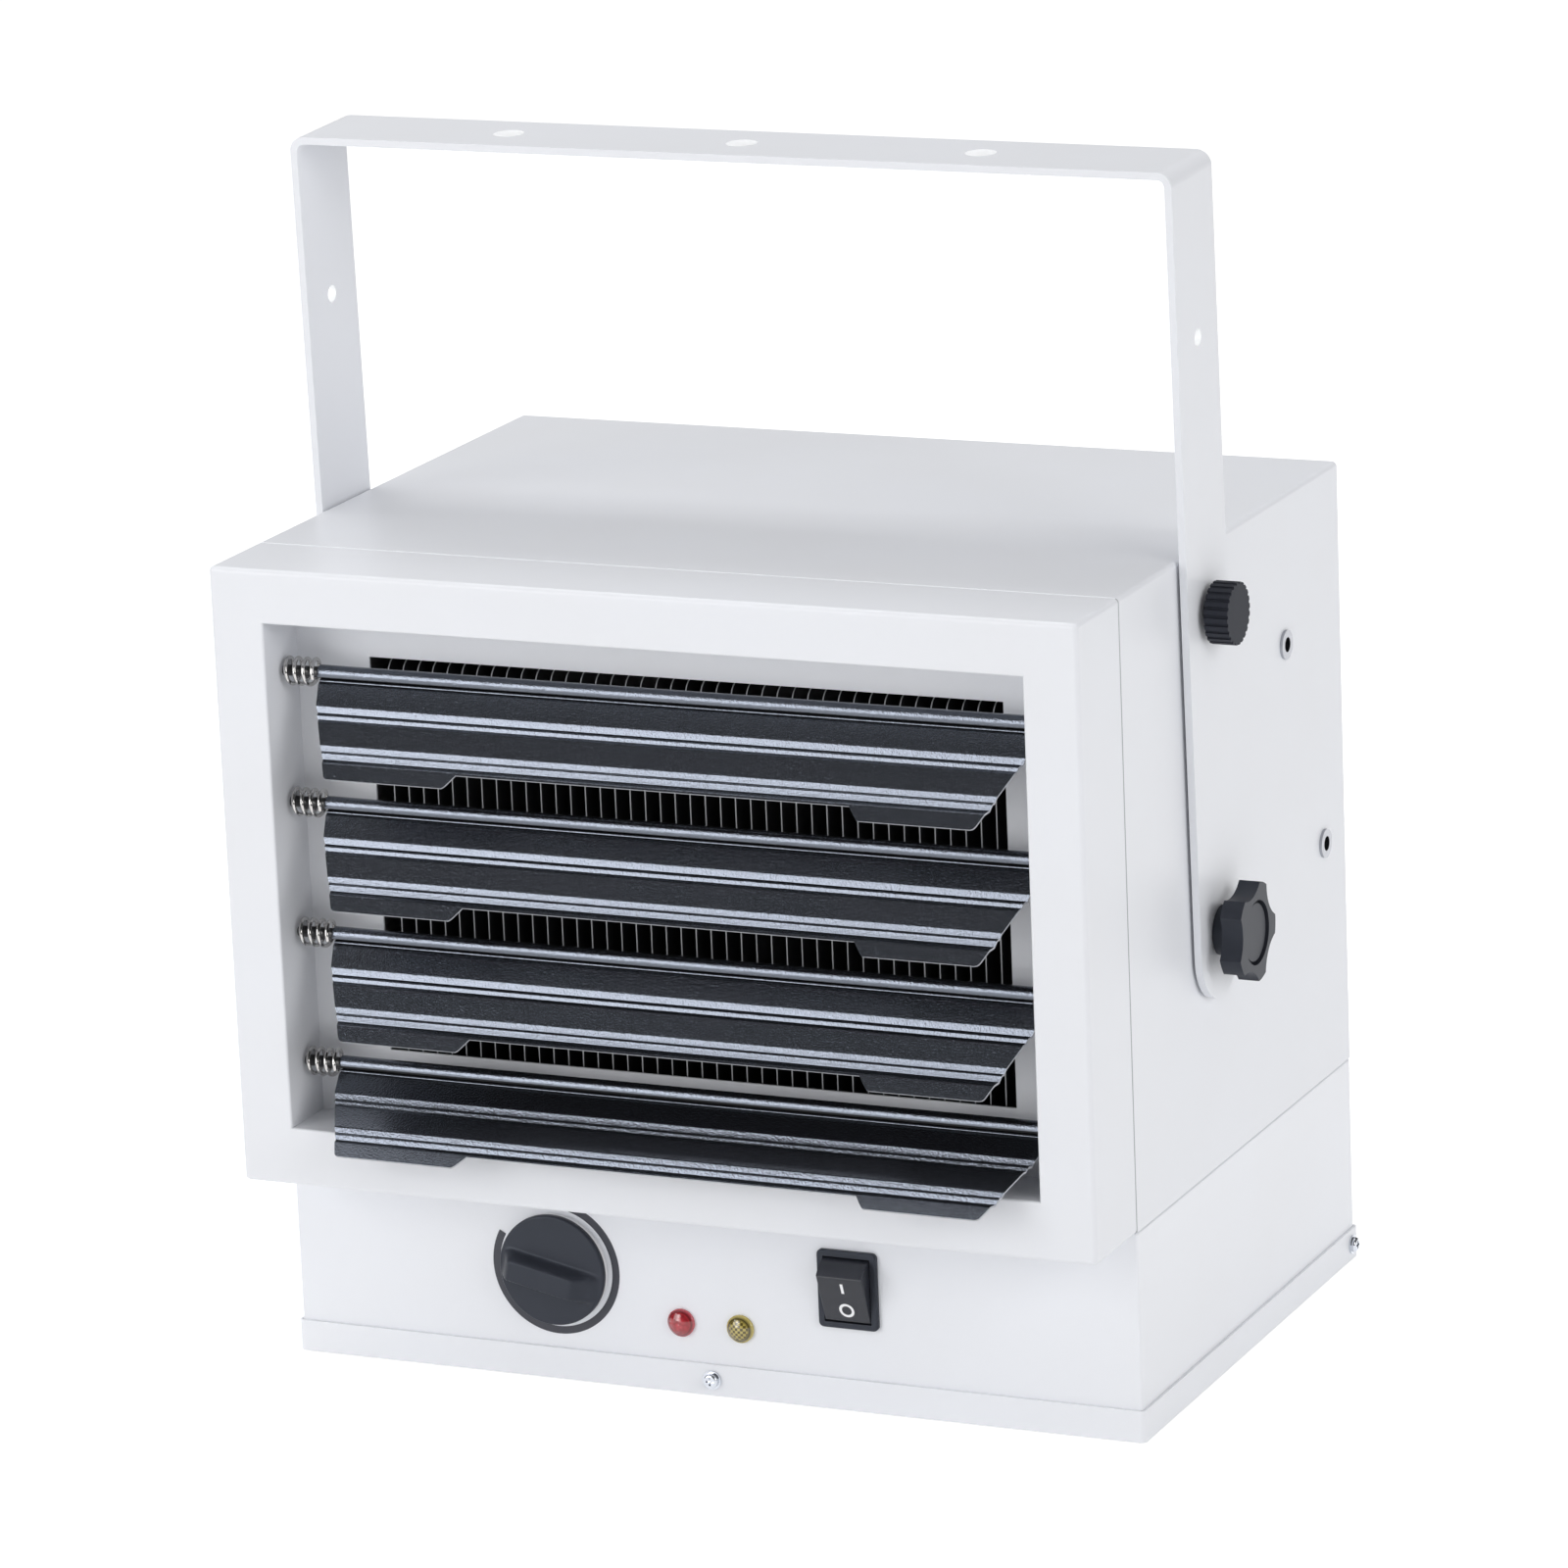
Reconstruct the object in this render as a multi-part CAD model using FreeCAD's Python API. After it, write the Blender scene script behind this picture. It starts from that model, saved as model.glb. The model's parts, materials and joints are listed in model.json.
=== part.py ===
import FreeCAD, Part
import math
import os

from FreeCAD import Vector

# Fan-forced garage heater: a white sheet-steel cabinet with a deep front frame, four tilting
# louvers, a finned heating element, an axial fan, a control base and a swinging bracket.
# Sizes are millimetres. +X is to the right, +Y to the back and +Z up.
# The origin is the middle of the base tray's underside.

# Sheet metal and fits
SHEET = 1.0
BEND = 2.0
FLANGE = 12.0
FIT = 0.3
RUNNING = 0.05
SEAM = 0.4

# Cabinet
CASE_WIDTH = 370.0
CASE_DEPTH = 241.0
BASE_HEIGHT = 86.0
UPPER_HEIGHT = 254.5

# Base tray and its screws
TRAY_SHEET = 1.2
TRAY_LIP = 13.0
TRAY_GAP = 0.1
TRAY_SCREW_INSET = 7.0
SCREW_RADIUS = 1.75
SCREW_LENGTH = 9.0
SCREW_HEAD_RADIUS = 3.1
SCREW_HEAD_HEIGHT = 1.9
WASHER_RADIUS = 4.0
WASHER_HEIGHT = 0.7
RECESS_LENGTH = 3.4
RECESS_WIDTH = 0.9
RECESS_DEPTH = 0.9

# Front frame round the air outlet
FRAME_DEPTH = 42.5
FRAME_SIDE = 23.0
FRAME_TOP = 22.0
FRAME_BOTTOM = 24.0
RETURN_DEPTH = 28.0
EDGE_ROUND = 1.0
SEAM_ROUND = 0.95

# Baffle behind the louvers, and the margins of its window
BAFFLE_LAP = 6.0
WINDOW_LEFT = 32.0
WINDOW_RIGHT = 20.0
WINDOW_TOP = 18.0
WINDOW_BOTTOM = 27.5

# Louvers: rods, blades and springs
LOUVER_COUNT = 4
ROD_TOP_DROP = 22.6
ROD_BOTTOM_RISE = 24.0
ROD_DEPTH = 16.5
ROD_RADIUS = 2.25
ROD_OVERRUN = 4.0
BLADE_SHEET = 0.8
BLADE_DROP = 45.0
BLADE_SET_BACK = 1.0
BLADE_CORNER = 1.4
BLADE_RIGHT_GAP = 1.2
ROLL_WALL = 0.9
ROLL_OVERLAP = 0.4
TAPER_START = 10.0
TAPER_INSET_LEFT = 13.0
TAPER_INSET_RIGHT = 16.6
NOTCH_HALF = 84.0
NOTCH_STEP = 4.2
NOTCH_DEPTH = 5.8
BEAD_STARTS = (14.0, 30.5)
BEAD_LENGTHS = (7.2, 8.1)
BEAD_DEPTHS = (1.2, 1.6)
BEAD_SHAPES = (
    ((0.0, 0.0), (0.32, 0.97), (0.36, 1.0), (0.40, 0.86), (0.53, 0.12), (0.57, 0.0), (0.61, 0.05),
     (0.75, 0.46), (0.80, 0.50), (0.85, 0.42), (0.96, 0.04), (1.0, 0.0)),
    ((0.0, 0.0), (0.25, 0.66), (0.28, 0.69), (0.37, 0.36), (0.40, 0.32), (0.43, 0.35), (0.64, 0.96),
     (0.68, 1.0), (0.73, 0.88), (0.95, 0.05), (1.0, 0.0)))
LOUVER_TILTS = (38.0, 38.0, 38.0, 54.0)
SPRING_LENGTH = 16.0
SPRING_MEAN_RADIUS = 5.1
SPRING_WIRE_RADIUS = 0.85
SPRING_QUARTER_TURNS = 14

# Finned heating element
FIN_PITCH = 6.5
FIN_SHEET = 0.5
FIN_GAP = 3.0
FIN_DEPTH = 35.0
FIN_INSET = 2.0
FIN_DROP = 11.0
FIN_CORNER = 6.0
HAIRPIN_COUNT = 3
TUBE_RADIUS = 4.0
END_PLATE_GAP = 3.0
END_PLATE_REACH = 13.0
END_PLATE_FLANGE = 10.0
TUBE_RUN_OUT = 4.0
TERMINAL_LENGTH = 14.0
TERMINAL_RADIUS = 2.0

# Fan, shroud and motor
FAN_RADIUS = 95.0
FAN_TIP_GAP = 3.0
FAN_BLADES = 5
FAN_BLADE_CHORD = 52.0
FAN_BLADE_SHEET = 1.5
FAN_PITCH_ANGLE = 28.0
HUB_RADIUS = 26.0
HUB_LENGTH = 24.0
SHROUD_RING = 25.0
SHROUD_SETBACK = 46.0
SHROUD_FLANGE = 14.0
SHAFT_RADIUS = 4.0
SHAFT_IN_MOTOR = 24.0
STRAP_WIDTH = 30.0
STRAP_SHEET = 2.0
STRAP_STANDOFF = 38.0
STRAP_FOOT = 20.0
MOTOR_RADIUS = 40.0
MOTOR_LENGTH = 55.0
MOTOR_ROUND = 4.0
MOTOR_BOSS_RADIUS = 13.0
MOTOR_BOSS_LENGTH = 6.0
CUTOUT_RADIUS = 12.0
CUTOUT_HEIGHT = 11.0
CUTOUT_OFFSET = 60.0

# Rear inlet grille
GRILLE_MARGIN = 12.0
SLOT_HEIGHT = 4.0
SLOT_PITCH = 9.0
SLOT_WEB = 9.0
REAR_SCREW_ROWS = 3
REAR_SCREW_MARGIN = 24.0

# Mounting bracket, pivots and lock screws
PIVOT_SETBACK = 86.0
PIVOT_RISE = 99.5
BRACKET_RISE = 155.0
BRACKET_LEAN = 1.8
ARM_WIDTH = 43.0
ARM_TAIL = 6.0
ARM_THICKNESS = 3.0
ARM_GAP = 1.5
ARM_BEND = 6.0
CEILING_HOLE_RADIUS = 6.25
CEILING_HOLE_SPACING = 102.0
ARM_HOLE_RADIUS = 3.5
ARM_HOLE_DROP = 69.5
PIVOT_RADIUS = 4.0
PIVOT_NUT_RADIUS = 5.5
PIVOT_NUT_FLANGE = 8.0
LOCK_RADIUS = 3.0
LOCK_NUT_RADIUS = 4.5
LOCK_NUT_FLANGE = 6.0
LOCK_TOP_MARGIN = 24.5
LOCK_REAR_MARGIN = 24.5
LOCK_STEPS = 2
LOCK_LAST_ANGLE = 90.0
NUT_FLANGE_HEIGHT = 1.2
NUT_LENGTH = 12.0

# Star knobs and knurled lock screws
STAR_RADIUS = 20.2
STAR_VALLEY = 15.8
STAR_LOBES = 5
STAR_LOBE_HALF_ANGLE = 11.0
STAR_FIRST_ANGLE = -5.0
STAR_THICKNESS = 8.8
STAR_COLLAR_RADIUS = 10.0
STAR_COLLAR_LENGTH = 6.4
STAR_RECESS_RADIUS = 13.0
STAR_RECESS_DEPTH = 2.4
STAR_CAP_RADIUS = 11.6
STAR_CAP_DROP = 0.9
STAR_BOLT_SEAT = 9.0
LOCK_CAP_RADIUS = 12.5
LOCK_CAP_VALLEY = 11.6
LOCK_CAP_FLUTES = 24
LOCK_CAP_HALF_ANGLE = 4.2
LOCK_CAP_THICKNESS = 9.9
LOCK_COLLAR_RADIUS = 6.5
LOCK_COLLAR_LENGTH = 2.4
LOCK_STUD_SEAT = 6.0

# Controls on the base front
DIAL_X = -67.9
DIAL_Z = 47.0
DIAL_RADIUS = 23.2
DIAL_THICKNESS = 2.4
DIAL_GAP = 2.6
DIAL_ROUND = 0.8
TRIM_RADIUS = 23.0
TRIM_WALL = 2.2
GRIP_HEIGHT = 6.5
GRIP_BASE_WIDTH = 15.0
GRIP_CREST_WIDTH = 9.5
GRIP_POINT_INSET = 0.6
GRIP_POINT_RUN = 3.0
GRIP_BLUNT_INSET = 3.8
GRIP_BLUNT_RUN = 8.8
GRIP_ROUND = 0.9
GRIP_TURN = 6.0
DIAL_SHAFT_RADIUS = 3.0
DIAL_SHAFT_SEAT = 4.5
DIAL_SHAFT_TAIL = 18.0
THERMOSTAT_BUSH = 5.0
THERMOSTAT_WIDTH = 38.0
THERMOSTAT_HEIGHT = 34.0
THERMOSTAT_DEPTH = 28.0
LAMP_HALF_SPACING = 13.0
LAMP_Z = 29.2
LAMP_RADIUS = 5.8
LAMP_RIM = 1.0
LAMP_DOME = 2.4
LAMP_BODY_RADIUS = 4.6
LAMP_BODY_LENGTH = 18.0
SWITCH_X = 61.0
SWITCH_Z = 50.6
BEZEL_WIDTH = 25.7
BEZEL_HEIGHT = 32.4
BEZEL_PROUD = 2.0
BEZEL_CORNER = 2.2
SWITCH_WALL = 1.2
SWITCH_DEPTH = 24.0
ROCKER_WIDTH = 19.6
ROCKER_RADIUS = 13.2
ROCKER_FACE = 7.4
ROCKER_PIVOT_DEPTH = 1.0
ROCKER_TILT = 21.0
ROCKER_GAP = 0.5
ROCKER_SKIRT = 5.5
TRUNNION_RADIUS = 2.0
TRUNNION_LENGTH = 0.8
CABLE_X = -95.0
CABLE_Z = 45.0
CABLE_BORE_RADIUS = 7.0
BUSHING_WALL = 2.5
BUSHING_LIP = 3.0
BUSHING_LIP_HEIGHT = 2.5
BUSHING_TAIL = 10.0
TERMINAL_BLOCK_LENGTH = 62.0
TERMINAL_BLOCK_WIDTH = 22.0
TERMINAL_BLOCK_HEIGHT = 18.0
TERMINAL_BLOCK_WAYS = 4
TERMINAL_SCREW_RADIUS = 3.0

# Places worked out from the sizes above
HALF_WIDTH = CASE_WIDTH / 2
CASE_FRONT = -CASE_DEPTH / 2
CASE_BACK = CASE_DEPTH / 2
CASE_TOP = BASE_HEIGHT + UPPER_HEIGHT
FRAME_FRONT = CASE_FRONT - FRAME_DEPTH
OPEN_HALF = HALF_WIDTH - FRAME_SIDE
OPEN_LOW = BASE_HEIGHT + FRAME_BOTTOM
OPEN_HIGH = CASE_TOP - FRAME_TOP
BAFFLE_FRONT = FRAME_FRONT + RETURN_DEPTH
BAFFLE_BACK = BAFFLE_FRONT + SHEET
WINDOW_X0 = -OPEN_HALF + WINDOW_LEFT
WINDOW_X1 = OPEN_HALF - WINDOW_RIGHT
WINDOW_Z0 = OPEN_LOW + WINDOW_BOTTOM
WINDOW_Z1 = OPEN_HIGH - WINDOW_TOP
ROD_Y = FRAME_FRONT + ROD_DEPTH
ROD_PITCH = (OPEN_HIGH - ROD_TOP_DROP - OPEN_LOW - ROD_BOTTOM_RISE) / (LOUVER_COUNT - 1)
BLADE_X0 = -OPEN_HALF + SPRING_LENGTH
BLADE_X1 = OPEN_HALF - BLADE_RIGHT_GAP
FIN_FRONT = BAFFLE_BACK + FIN_GAP
FIN_BACK = FIN_FRONT + FIN_DEPTH
FAN_Z = BASE_HEIGHT + UPPER_HEIGHT / 2
SHROUD_Y = FIN_BACK + SHROUD_SETBACK - SHEET
STRAP_Y = SHROUD_Y + SHEET + STRAP_STANDOFF
MOTOR_FRONT = STRAP_Y + STRAP_SHEET
PIVOT_Y = CASE_FRONT + PIVOT_SETBACK
PIVOT_Z = BASE_HEIGHT + PIVOT_RISE
ARM_INNER = HALF_WIDTH + ARM_GAP
ARM_OUTER = ARM_INNER + ARM_THICKNESS
BRACKET_TOP = CASE_TOP + BRACKET_RISE
LOCK_REACH = min(CASE_TOP - LOCK_TOP_MARGIN - PIVOT_Z, CASE_BACK - LOCK_REAR_MARGIN - PIVOT_Y)
PANEL_BACK = CASE_FRONT + SHEET
SIDES = {"left": -1.0, "right": 1.0}


def block(x0, x1, y0, y1, z0, z1):
    """A box between two corners."""
    return Part.makeBox(x1 - x0, y1 - y0, z1 - z0, Vector(x0, y0, z0))


def rod_x(radius, x0, x1, y, z):
    """A round bar along X."""
    return Part.makeCylinder(radius, x1 - x0, Vector(x0, y, z), Vector(1, 0, 0))


def rod_y(radius, x, y0, y1, z):
    """A round bar along Y."""
    return Part.makeCylinder(radius, y1 - y0, Vector(x, y0, z), Vector(0, 1, 0))


def rod_z(radius, x, y, z0, z1):
    """A round bar along Z."""
    return Part.makeCylinder(radius, z1 - z0, Vector(x, y, z0), Vector(0, 0, 1))


def edges_where(shape, test):
    """The edges whose middle passes a test."""
    return [edge for edge in shape.Edges if test(edge.CenterOfMass, edge)]


def along(edge, axis):
    """True where a straight edge runs along an axis."""
    if edge.Curve.TypeId != "Part::GeomLine":
        return False
    return abs(edge.Curve.Direction.dot(axis)) > 0.999


def near(a, b):
    """True where two places agree."""
    return abs(a - b) < 1e-4


def mirrored(shape):
    """The same piece for the left side."""
    return shape.mirror(Vector(0, 0, 0), Vector(1, 0, 0))


def for_side(shape, sign):
    """A right-hand piece, mirrored where the sign is negative."""
    return shape if sign > 0 else mirrored(shape)


def pan_screw(shaft_length):
    """A pan-head cross-recess screw with its washer: head at the origin, shank along +Y."""
    washer = rod_y(WASHER_RADIUS, 0, -WASHER_HEIGHT, 0, 0)
    washer = washer.cut(rod_y(SCREW_RADIUS + RUNNING, 0, -WASHER_HEIGHT, 0, 0))
    under = -WASHER_HEIGHT
    top = under - SCREW_HEAD_HEIGHT
    head = rod_y(SCREW_HEAD_RADIUS, 0, top, under, 0)
    rim = edges_where(head, lambda c, e: near(c.y, top))
    head = head.makeFillet(SCREW_HEAD_HEIGHT * 0.6, rim)
    half_long = RECESS_LENGTH / 2
    half_wide = RECESS_WIDTH / 2
    floor = top + RECESS_DEPTH
    head = head.cut(block(-half_long, half_long, top, floor, -half_wide, half_wide))
    head = head.cut(block(-half_wide, half_wide, top, floor, -half_long, half_long))
    screw = head.fuse(rod_y(SCREW_RADIUS, 0, under, shaft_length, 0)).removeSplitter()
    return [screw, washer]


def placed(solids, x, y, z, turn=0.0):
    """Copies of solids turned about Z and moved to a place."""
    out = []
    for solid in solids:
        copy = solid.copy()
        copy.rotate(Vector(0, 0, 0), Vector(0, 0, 1), turn)
        copy.translate(Vector(x, y, z))
        out.append(copy)
    return out


def lobed_prism(outer, inner, lobes, half_angle, first_angle, x0, x1):
    """A bar along X with round lobes and hollow valleys between them."""
    step = 360.0 / lobes

    def point(radius, angle):
        turn = math.radians(angle)
        return Vector(x0, radius * math.cos(turn), radius * math.sin(turn))

    edges = []
    for lobe in range(lobes):
        middle = first_angle + lobe * step
        start = point(outer, middle - half_angle)
        finish = point(outer, middle + half_angle)
        after = point(outer, middle + step - half_angle)
        edges.append(Part.Arc(start, point(outer, middle), finish).toShape())
        edges.append(Part.Arc(finish, point(inner, middle + step / 2), after).toShape())
    face = Part.Face(Part.Wire(edges))
    return face.extrude(Vector(x1 - x0, 0, 0))


def base_tray():
    """Folded floor pan whose lip stands outside the base case."""
    half_x = HALF_WIDTH + TRAY_GAP + TRAY_SHEET
    half_y = CASE_BACK + TRAY_GAP + TRAY_SHEET
    pan = block(-half_x, half_x, -half_y, half_y, 0, TRAY_LIP)
    corners = edges_where(pan, lambda c, e: along(e, Vector(0, 0, 1)))
    pan = pan.makeFillet(BEND, corners)
    inner_x = HALF_WIDTH + TRAY_GAP
    inner_y = CASE_BACK + TRAY_GAP
    pan = pan.cut(block(-inner_x, inner_x, -inner_y, inner_y, TRAY_SHEET, TRAY_LIP))
    return pan.cut(tray_screw_holes())


def tray_screw_places():
    """One screw at the middle of the front lip and one near the back of each side lip."""
    lip = TRAY_GAP + TRAY_SHEET
    rear_y = CASE_BACK + lip - TRAY_SCREW_INSET
    side_x = HALF_WIDTH + lip
    return [(0.0, CASE_FRONT - lip, 0.0), (-side_x, rear_y, -90.0), (side_x, rear_y, 90.0)]


def tray_screw_holes():
    hole = rod_y(SCREW_RADIUS + RUNNING, 0, -SCREW_LENGTH, SCREW_LENGTH, 0)
    holes = []
    for x, y, turn in tray_screw_places():
        holes += placed([hole], x, y, TRAY_LIP / 2, turn)
    return Part.makeCompound(holes)


def tray_screws():
    solids = []
    for x, y, turn in tray_screw_places():
        solids += placed(pan_screw(SCREW_LENGTH), x, y, TRAY_LIP / 2, turn)
    return Part.makeCompound(solids)


def base_case():
    """Four-sided control base with an inward flange round its top."""
    shell = block(-HALF_WIDTH, HALF_WIDTH, CASE_FRONT, CASE_BACK, TRAY_SHEET, BASE_HEIGHT)
    corners = edges_where(shell, lambda c, e: along(e, Vector(0, 0, 1)) or near(c.z, BASE_HEIGHT))
    shell = shell.makeFillet(EDGE_ROUND, corners)
    inner_x = HALF_WIDTH - SHEET
    shell = shell.cut(block(-inner_x, inner_x, PANEL_BACK, CASE_BACK - SHEET, TRAY_SHEET, BASE_HEIGHT - SHEET))
    hole_x = HALF_WIDTH - FLANGE
    shell = shell.cut(block(-hole_x, hole_x, CASE_FRONT + FLANGE, CASE_BACK - FLANGE, TRAY_SHEET, BASE_HEIGHT))
    panel = (CASE_FRONT - SHEET, PANEL_BACK + SHEET)
    shell = shell.cut(rod_y(THERMOSTAT_BUSH + RUNNING, DIAL_X, panel[0], panel[1], DIAL_Z))
    for sign in SIDES.values():
        shell = shell.cut(rod_y(LAMP_BODY_RADIUS + RUNNING, sign * LAMP_HALF_SPACING, panel[0], panel[1], LAMP_Z))
    half_x = switch_half_width() + RUNNING
    half_z = switch_half_height() + RUNNING
    shell = shell.cut(block(SWITCH_X - half_x, SWITCH_X + half_x, panel[0], panel[1],
                            SWITCH_Z - half_z, SWITCH_Z + half_z))
    shell = shell.cut(rod_y(CABLE_BORE_RADIUS + BUSHING_WALL + RUNNING, CABLE_X,
                            CASE_BACK - 2 * SHEET, CASE_BACK + SHEET, CABLE_Z))
    return shell.cut(tray_screw_holes())


def divider_plate():
    """Flat plate between the control base and the heating chamber."""
    half_x = HALF_WIDTH - SHEET - FIT
    return block(-half_x, half_x, PANEL_BACK + FIT, CASE_BACK - 2 * SHEET - FIT, BASE_HEIGHT, BASE_HEIGHT + SHEET)


def nut_places():
    """Pivot nut place, then the lock nut places on one arc from the leaning arm to the back, as (y, z)."""
    locks = []
    for step in range(LOCK_STEPS + 1):
        turn = math.radians((LOCK_LAST_ANGLE + BRACKET_LEAN) * step / LOCK_STEPS - BRACKET_LEAN)
        locks.append((PIVOT_Y + LOCK_REACH * math.sin(turn), PIVOT_Z + LOCK_REACH * math.cos(turn)))
    return (PIVOT_Y, PIVOT_Z), locks


def upper_case():
    """Top and two sides folded from one sheet, with inward flanges at the front and back."""
    low = BASE_HEIGHT + SEAM
    wrap = block(-HALF_WIDTH, HALF_WIDTH, CASE_FRONT, CASE_BACK, low, CASE_TOP)
    folds = edges_where(wrap, lambda c, e: near(c.z, CASE_TOP) and along(e, Vector(0, 1, 0)))
    wrap = wrap.makeFillet(BEND, folds)
    seam = edges_where(wrap, lambda c, e: near(c.y, CASE_FRONT) and c.z > low + SHEET)
    wrap = wrap.makeFillet(SEAM_ROUND, seam)
    inner_x = HALF_WIDTH - SHEET
    inner_z = CASE_TOP - SHEET
    mouth_x = inner_x - FLANGE
    mouth_z = inner_z - FLANGE
    wrap = wrap.cut(block(-inner_x, inner_x, PANEL_BACK, CASE_BACK - 2 * SHEET, low, inner_z))
    wrap = wrap.cut(block(-inner_x, inner_x, CASE_BACK - SHEET, CASE_BACK, low, inner_z))
    wrap = wrap.cut(block(-mouth_x, mouth_x, CASE_FRONT, CASE_BACK, low, mouth_z))
    pivot, locks = nut_places()
    for sign in SIDES.values():
        side = sorted((sign * (HALF_WIDTH - 2 * SHEET), sign * (HALF_WIDTH + SHEET)))
        wrap = wrap.cut(rod_x(PIVOT_NUT_RADIUS + RUNNING, side[0], side[1], pivot[0], pivot[1]))
        for y, z in locks:
            wrap = wrap.cut(rod_x(LOCK_NUT_RADIUS + RUNNING, side[0], side[1], y, z))
    for x, z in rear_screw_places():
        wrap = wrap.cut(rod_y(SCREW_RADIUS + RUNNING, x, CASE_BACK - 3 * SHEET, CASE_BACK, z))
    return wrap


def rear_screw_places():
    """Screws in rows down both rear flanges, as (x, z)."""
    x = HALF_WIDTH - SHEET - FLANGE / 2
    low = BASE_HEIGHT + REAR_SCREW_MARGIN
    step = (UPPER_HEIGHT - 2 * REAR_SCREW_MARGIN) / (REAR_SCREW_ROWS - 1)
    return [(sign * x, low + row * step) for sign in SIDES.values() for row in range(REAR_SCREW_ROWS)]


def rear_panel():
    """Flat back cover with slots in a round field behind the fan."""
    half_x = HALF_WIDTH - SHEET - FIT
    low = BASE_HEIGHT + SEAM
    panel = block(-half_x, half_x, CASE_BACK - SHEET, CASE_BACK, low, CASE_TOP - SHEET - FIT)
    field = FAN_RADIUS + FAN_TIP_GAP
    rows = int((field - GRILLE_MARGIN / 2) / SLOT_PITCH)
    slots = []
    for row in range(-rows, rows + 1):
        rise = row * SLOT_PITCH
        reach = math.sqrt(field * field - rise * rise)
        z = FAN_Z + rise
        for sign in SIDES.values():
            ends = sorted((sign * SLOT_WEB / 2, sign * reach))
            if ends[1] - ends[0] > GRILLE_MARGIN:
                slots.append(block(ends[0], ends[1], CASE_BACK - SHEET, CASE_BACK,
                                   z - SLOT_HEIGHT / 2, z + SLOT_HEIGHT / 2))
    panel = panel.cut(Part.makeCompound(slots))
    for x, z in rear_screw_places():
        panel = panel.cut(rod_y(SCREW_RADIUS + RUNNING, x, CASE_BACK - SHEET, CASE_BACK, z))
    return panel


def rear_screws():
    solids = []
    for x, z in rear_screw_places():
        solids += placed(pan_screw(SCREW_LENGTH), x, CASE_BACK, z, 180.0)
    return Part.makeCompound(solids)


def front_frame():
    """Deep picture frame folded from sheet, with returns round the outlet."""
    shell = block(-HALF_WIDTH, HALF_WIDTH, FRAME_FRONT, CASE_FRONT, BASE_HEIGHT, CASE_TOP)
    outer = edges_where(shell, lambda c, e: near(c.y, FRAME_FRONT) or along(e, Vector(0, 1, 0)))
    shell = shell.makeFillet(BEND, outer)
    shell = shell.makeFillet(SEAM_ROUND, edges_where(shell, lambda c, e: near(c.y, CASE_FRONT)))
    inner_x = HALF_WIDTH - SHEET
    shell = shell.cut(block(-inner_x, inner_x, FRAME_FRONT + SHEET, CASE_FRONT, BASE_HEIGHT + SHEET, CASE_TOP - SHEET))
    sleeve_x = OPEN_HALF + SHEET
    sleeve = block(-sleeve_x, sleeve_x, FRAME_FRONT, BAFFLE_FRONT, OPEN_LOW - SHEET, OPEN_HIGH + SHEET)
    shell = shell.fuse(sleeve)
    shell = shell.cut(block(-OPEN_HALF, OPEN_HALF, FRAME_FRONT, BAFFLE_FRONT, OPEN_LOW, OPEN_HIGH))
    shell = shell.removeSplitter()

    def on_outlet_edge(c, edge):
        inside = abs(c.x) < OPEN_HALF + EDGE_ROUND and OPEN_LOW - EDGE_ROUND < c.z < OPEN_HIGH + EDGE_ROUND
        return near(c.y, FRAME_FRONT) and inside

    shell = shell.makeFillet(EDGE_ROUND, edges_where(shell, on_outlet_edge))
    for z in rod_heights():
        for sign in SIDES.values():
            wall = sorted((sign * (OPEN_HALF - SHEET), sign * (OPEN_HALF + 2 * SHEET)))
            shell = shell.cut(rod_x(ROD_RADIUS + RUNNING, wall[0], wall[1], ROD_Y, z))
    return shell


def rod_heights():
    """Louver rod heights, from the top down."""
    return [OPEN_HIGH - ROD_TOP_DROP - louver * ROD_PITCH for louver in range(LOUVER_COUNT)]


def outlet_baffle():
    """Sheet across the back of the frame's returns, with the outlet window."""
    reach_x = OPEN_HALF + BAFFLE_LAP
    sheet = block(-reach_x, reach_x, BAFFLE_FRONT, BAFFLE_BACK, OPEN_LOW - BAFFLE_LAP, OPEN_HIGH + BAFFLE_LAP)
    return sheet.cut(block(WINDOW_X0, WINDOW_X1, BAFFLE_FRONT, BAFFLE_BACK, WINDOW_Z0, WINDOW_Z1))


def tube_heights():
    """Heights of the straight element tubes, from the bottom up."""
    tubes = 2 * HAIRPIN_COUNT
    step = (WINDOW_Z1 - WINDOW_Z0) / tubes
    return [WINDOW_Z0 + (index + 0.5) * step for index in range(tubes)]


def fin_middle_y():
    return (FIN_FRONT + FIN_BACK) / 2


def heating_fins():
    """Thin upright plates threaded on the element tubes."""
    count = int((WINDOW_X1 - WINDOW_X0) / FIN_PITCH)
    start = (WINDOW_X0 + WINDOW_X1 - (count - 1) * FIN_PITCH) / 2 - FIN_SHEET / 2
    plate = block(start, start + FIN_SHEET, FIN_FRONT, FIN_BACK, WINDOW_Z0 - FIN_DROP, WINDOW_Z1 - FIN_INSET)
    corners = edges_where(plate, lambda c, e: along(e, Vector(1, 0, 0)))
    plate = plate.makeFillet(FIN_CORNER, corners)
    for z in tube_heights():
        plate = plate.cut(rod_x(TUBE_RADIUS + RUNNING, start, start + FIN_SHEET, fin_middle_y(), z))
    solids = []
    for index in range(count):
        copy = plate.copy()
        copy.translate(Vector(index * FIN_PITCH, 0, 0))
        solids.append(copy)
    return Part.makeCompound(solids)


def end_plate_faces():
    """Inner face of the left plate and of the right plate."""
    return WINDOW_X0 - END_PLATE_GAP, WINDOW_X1 + END_PLATE_GAP


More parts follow.
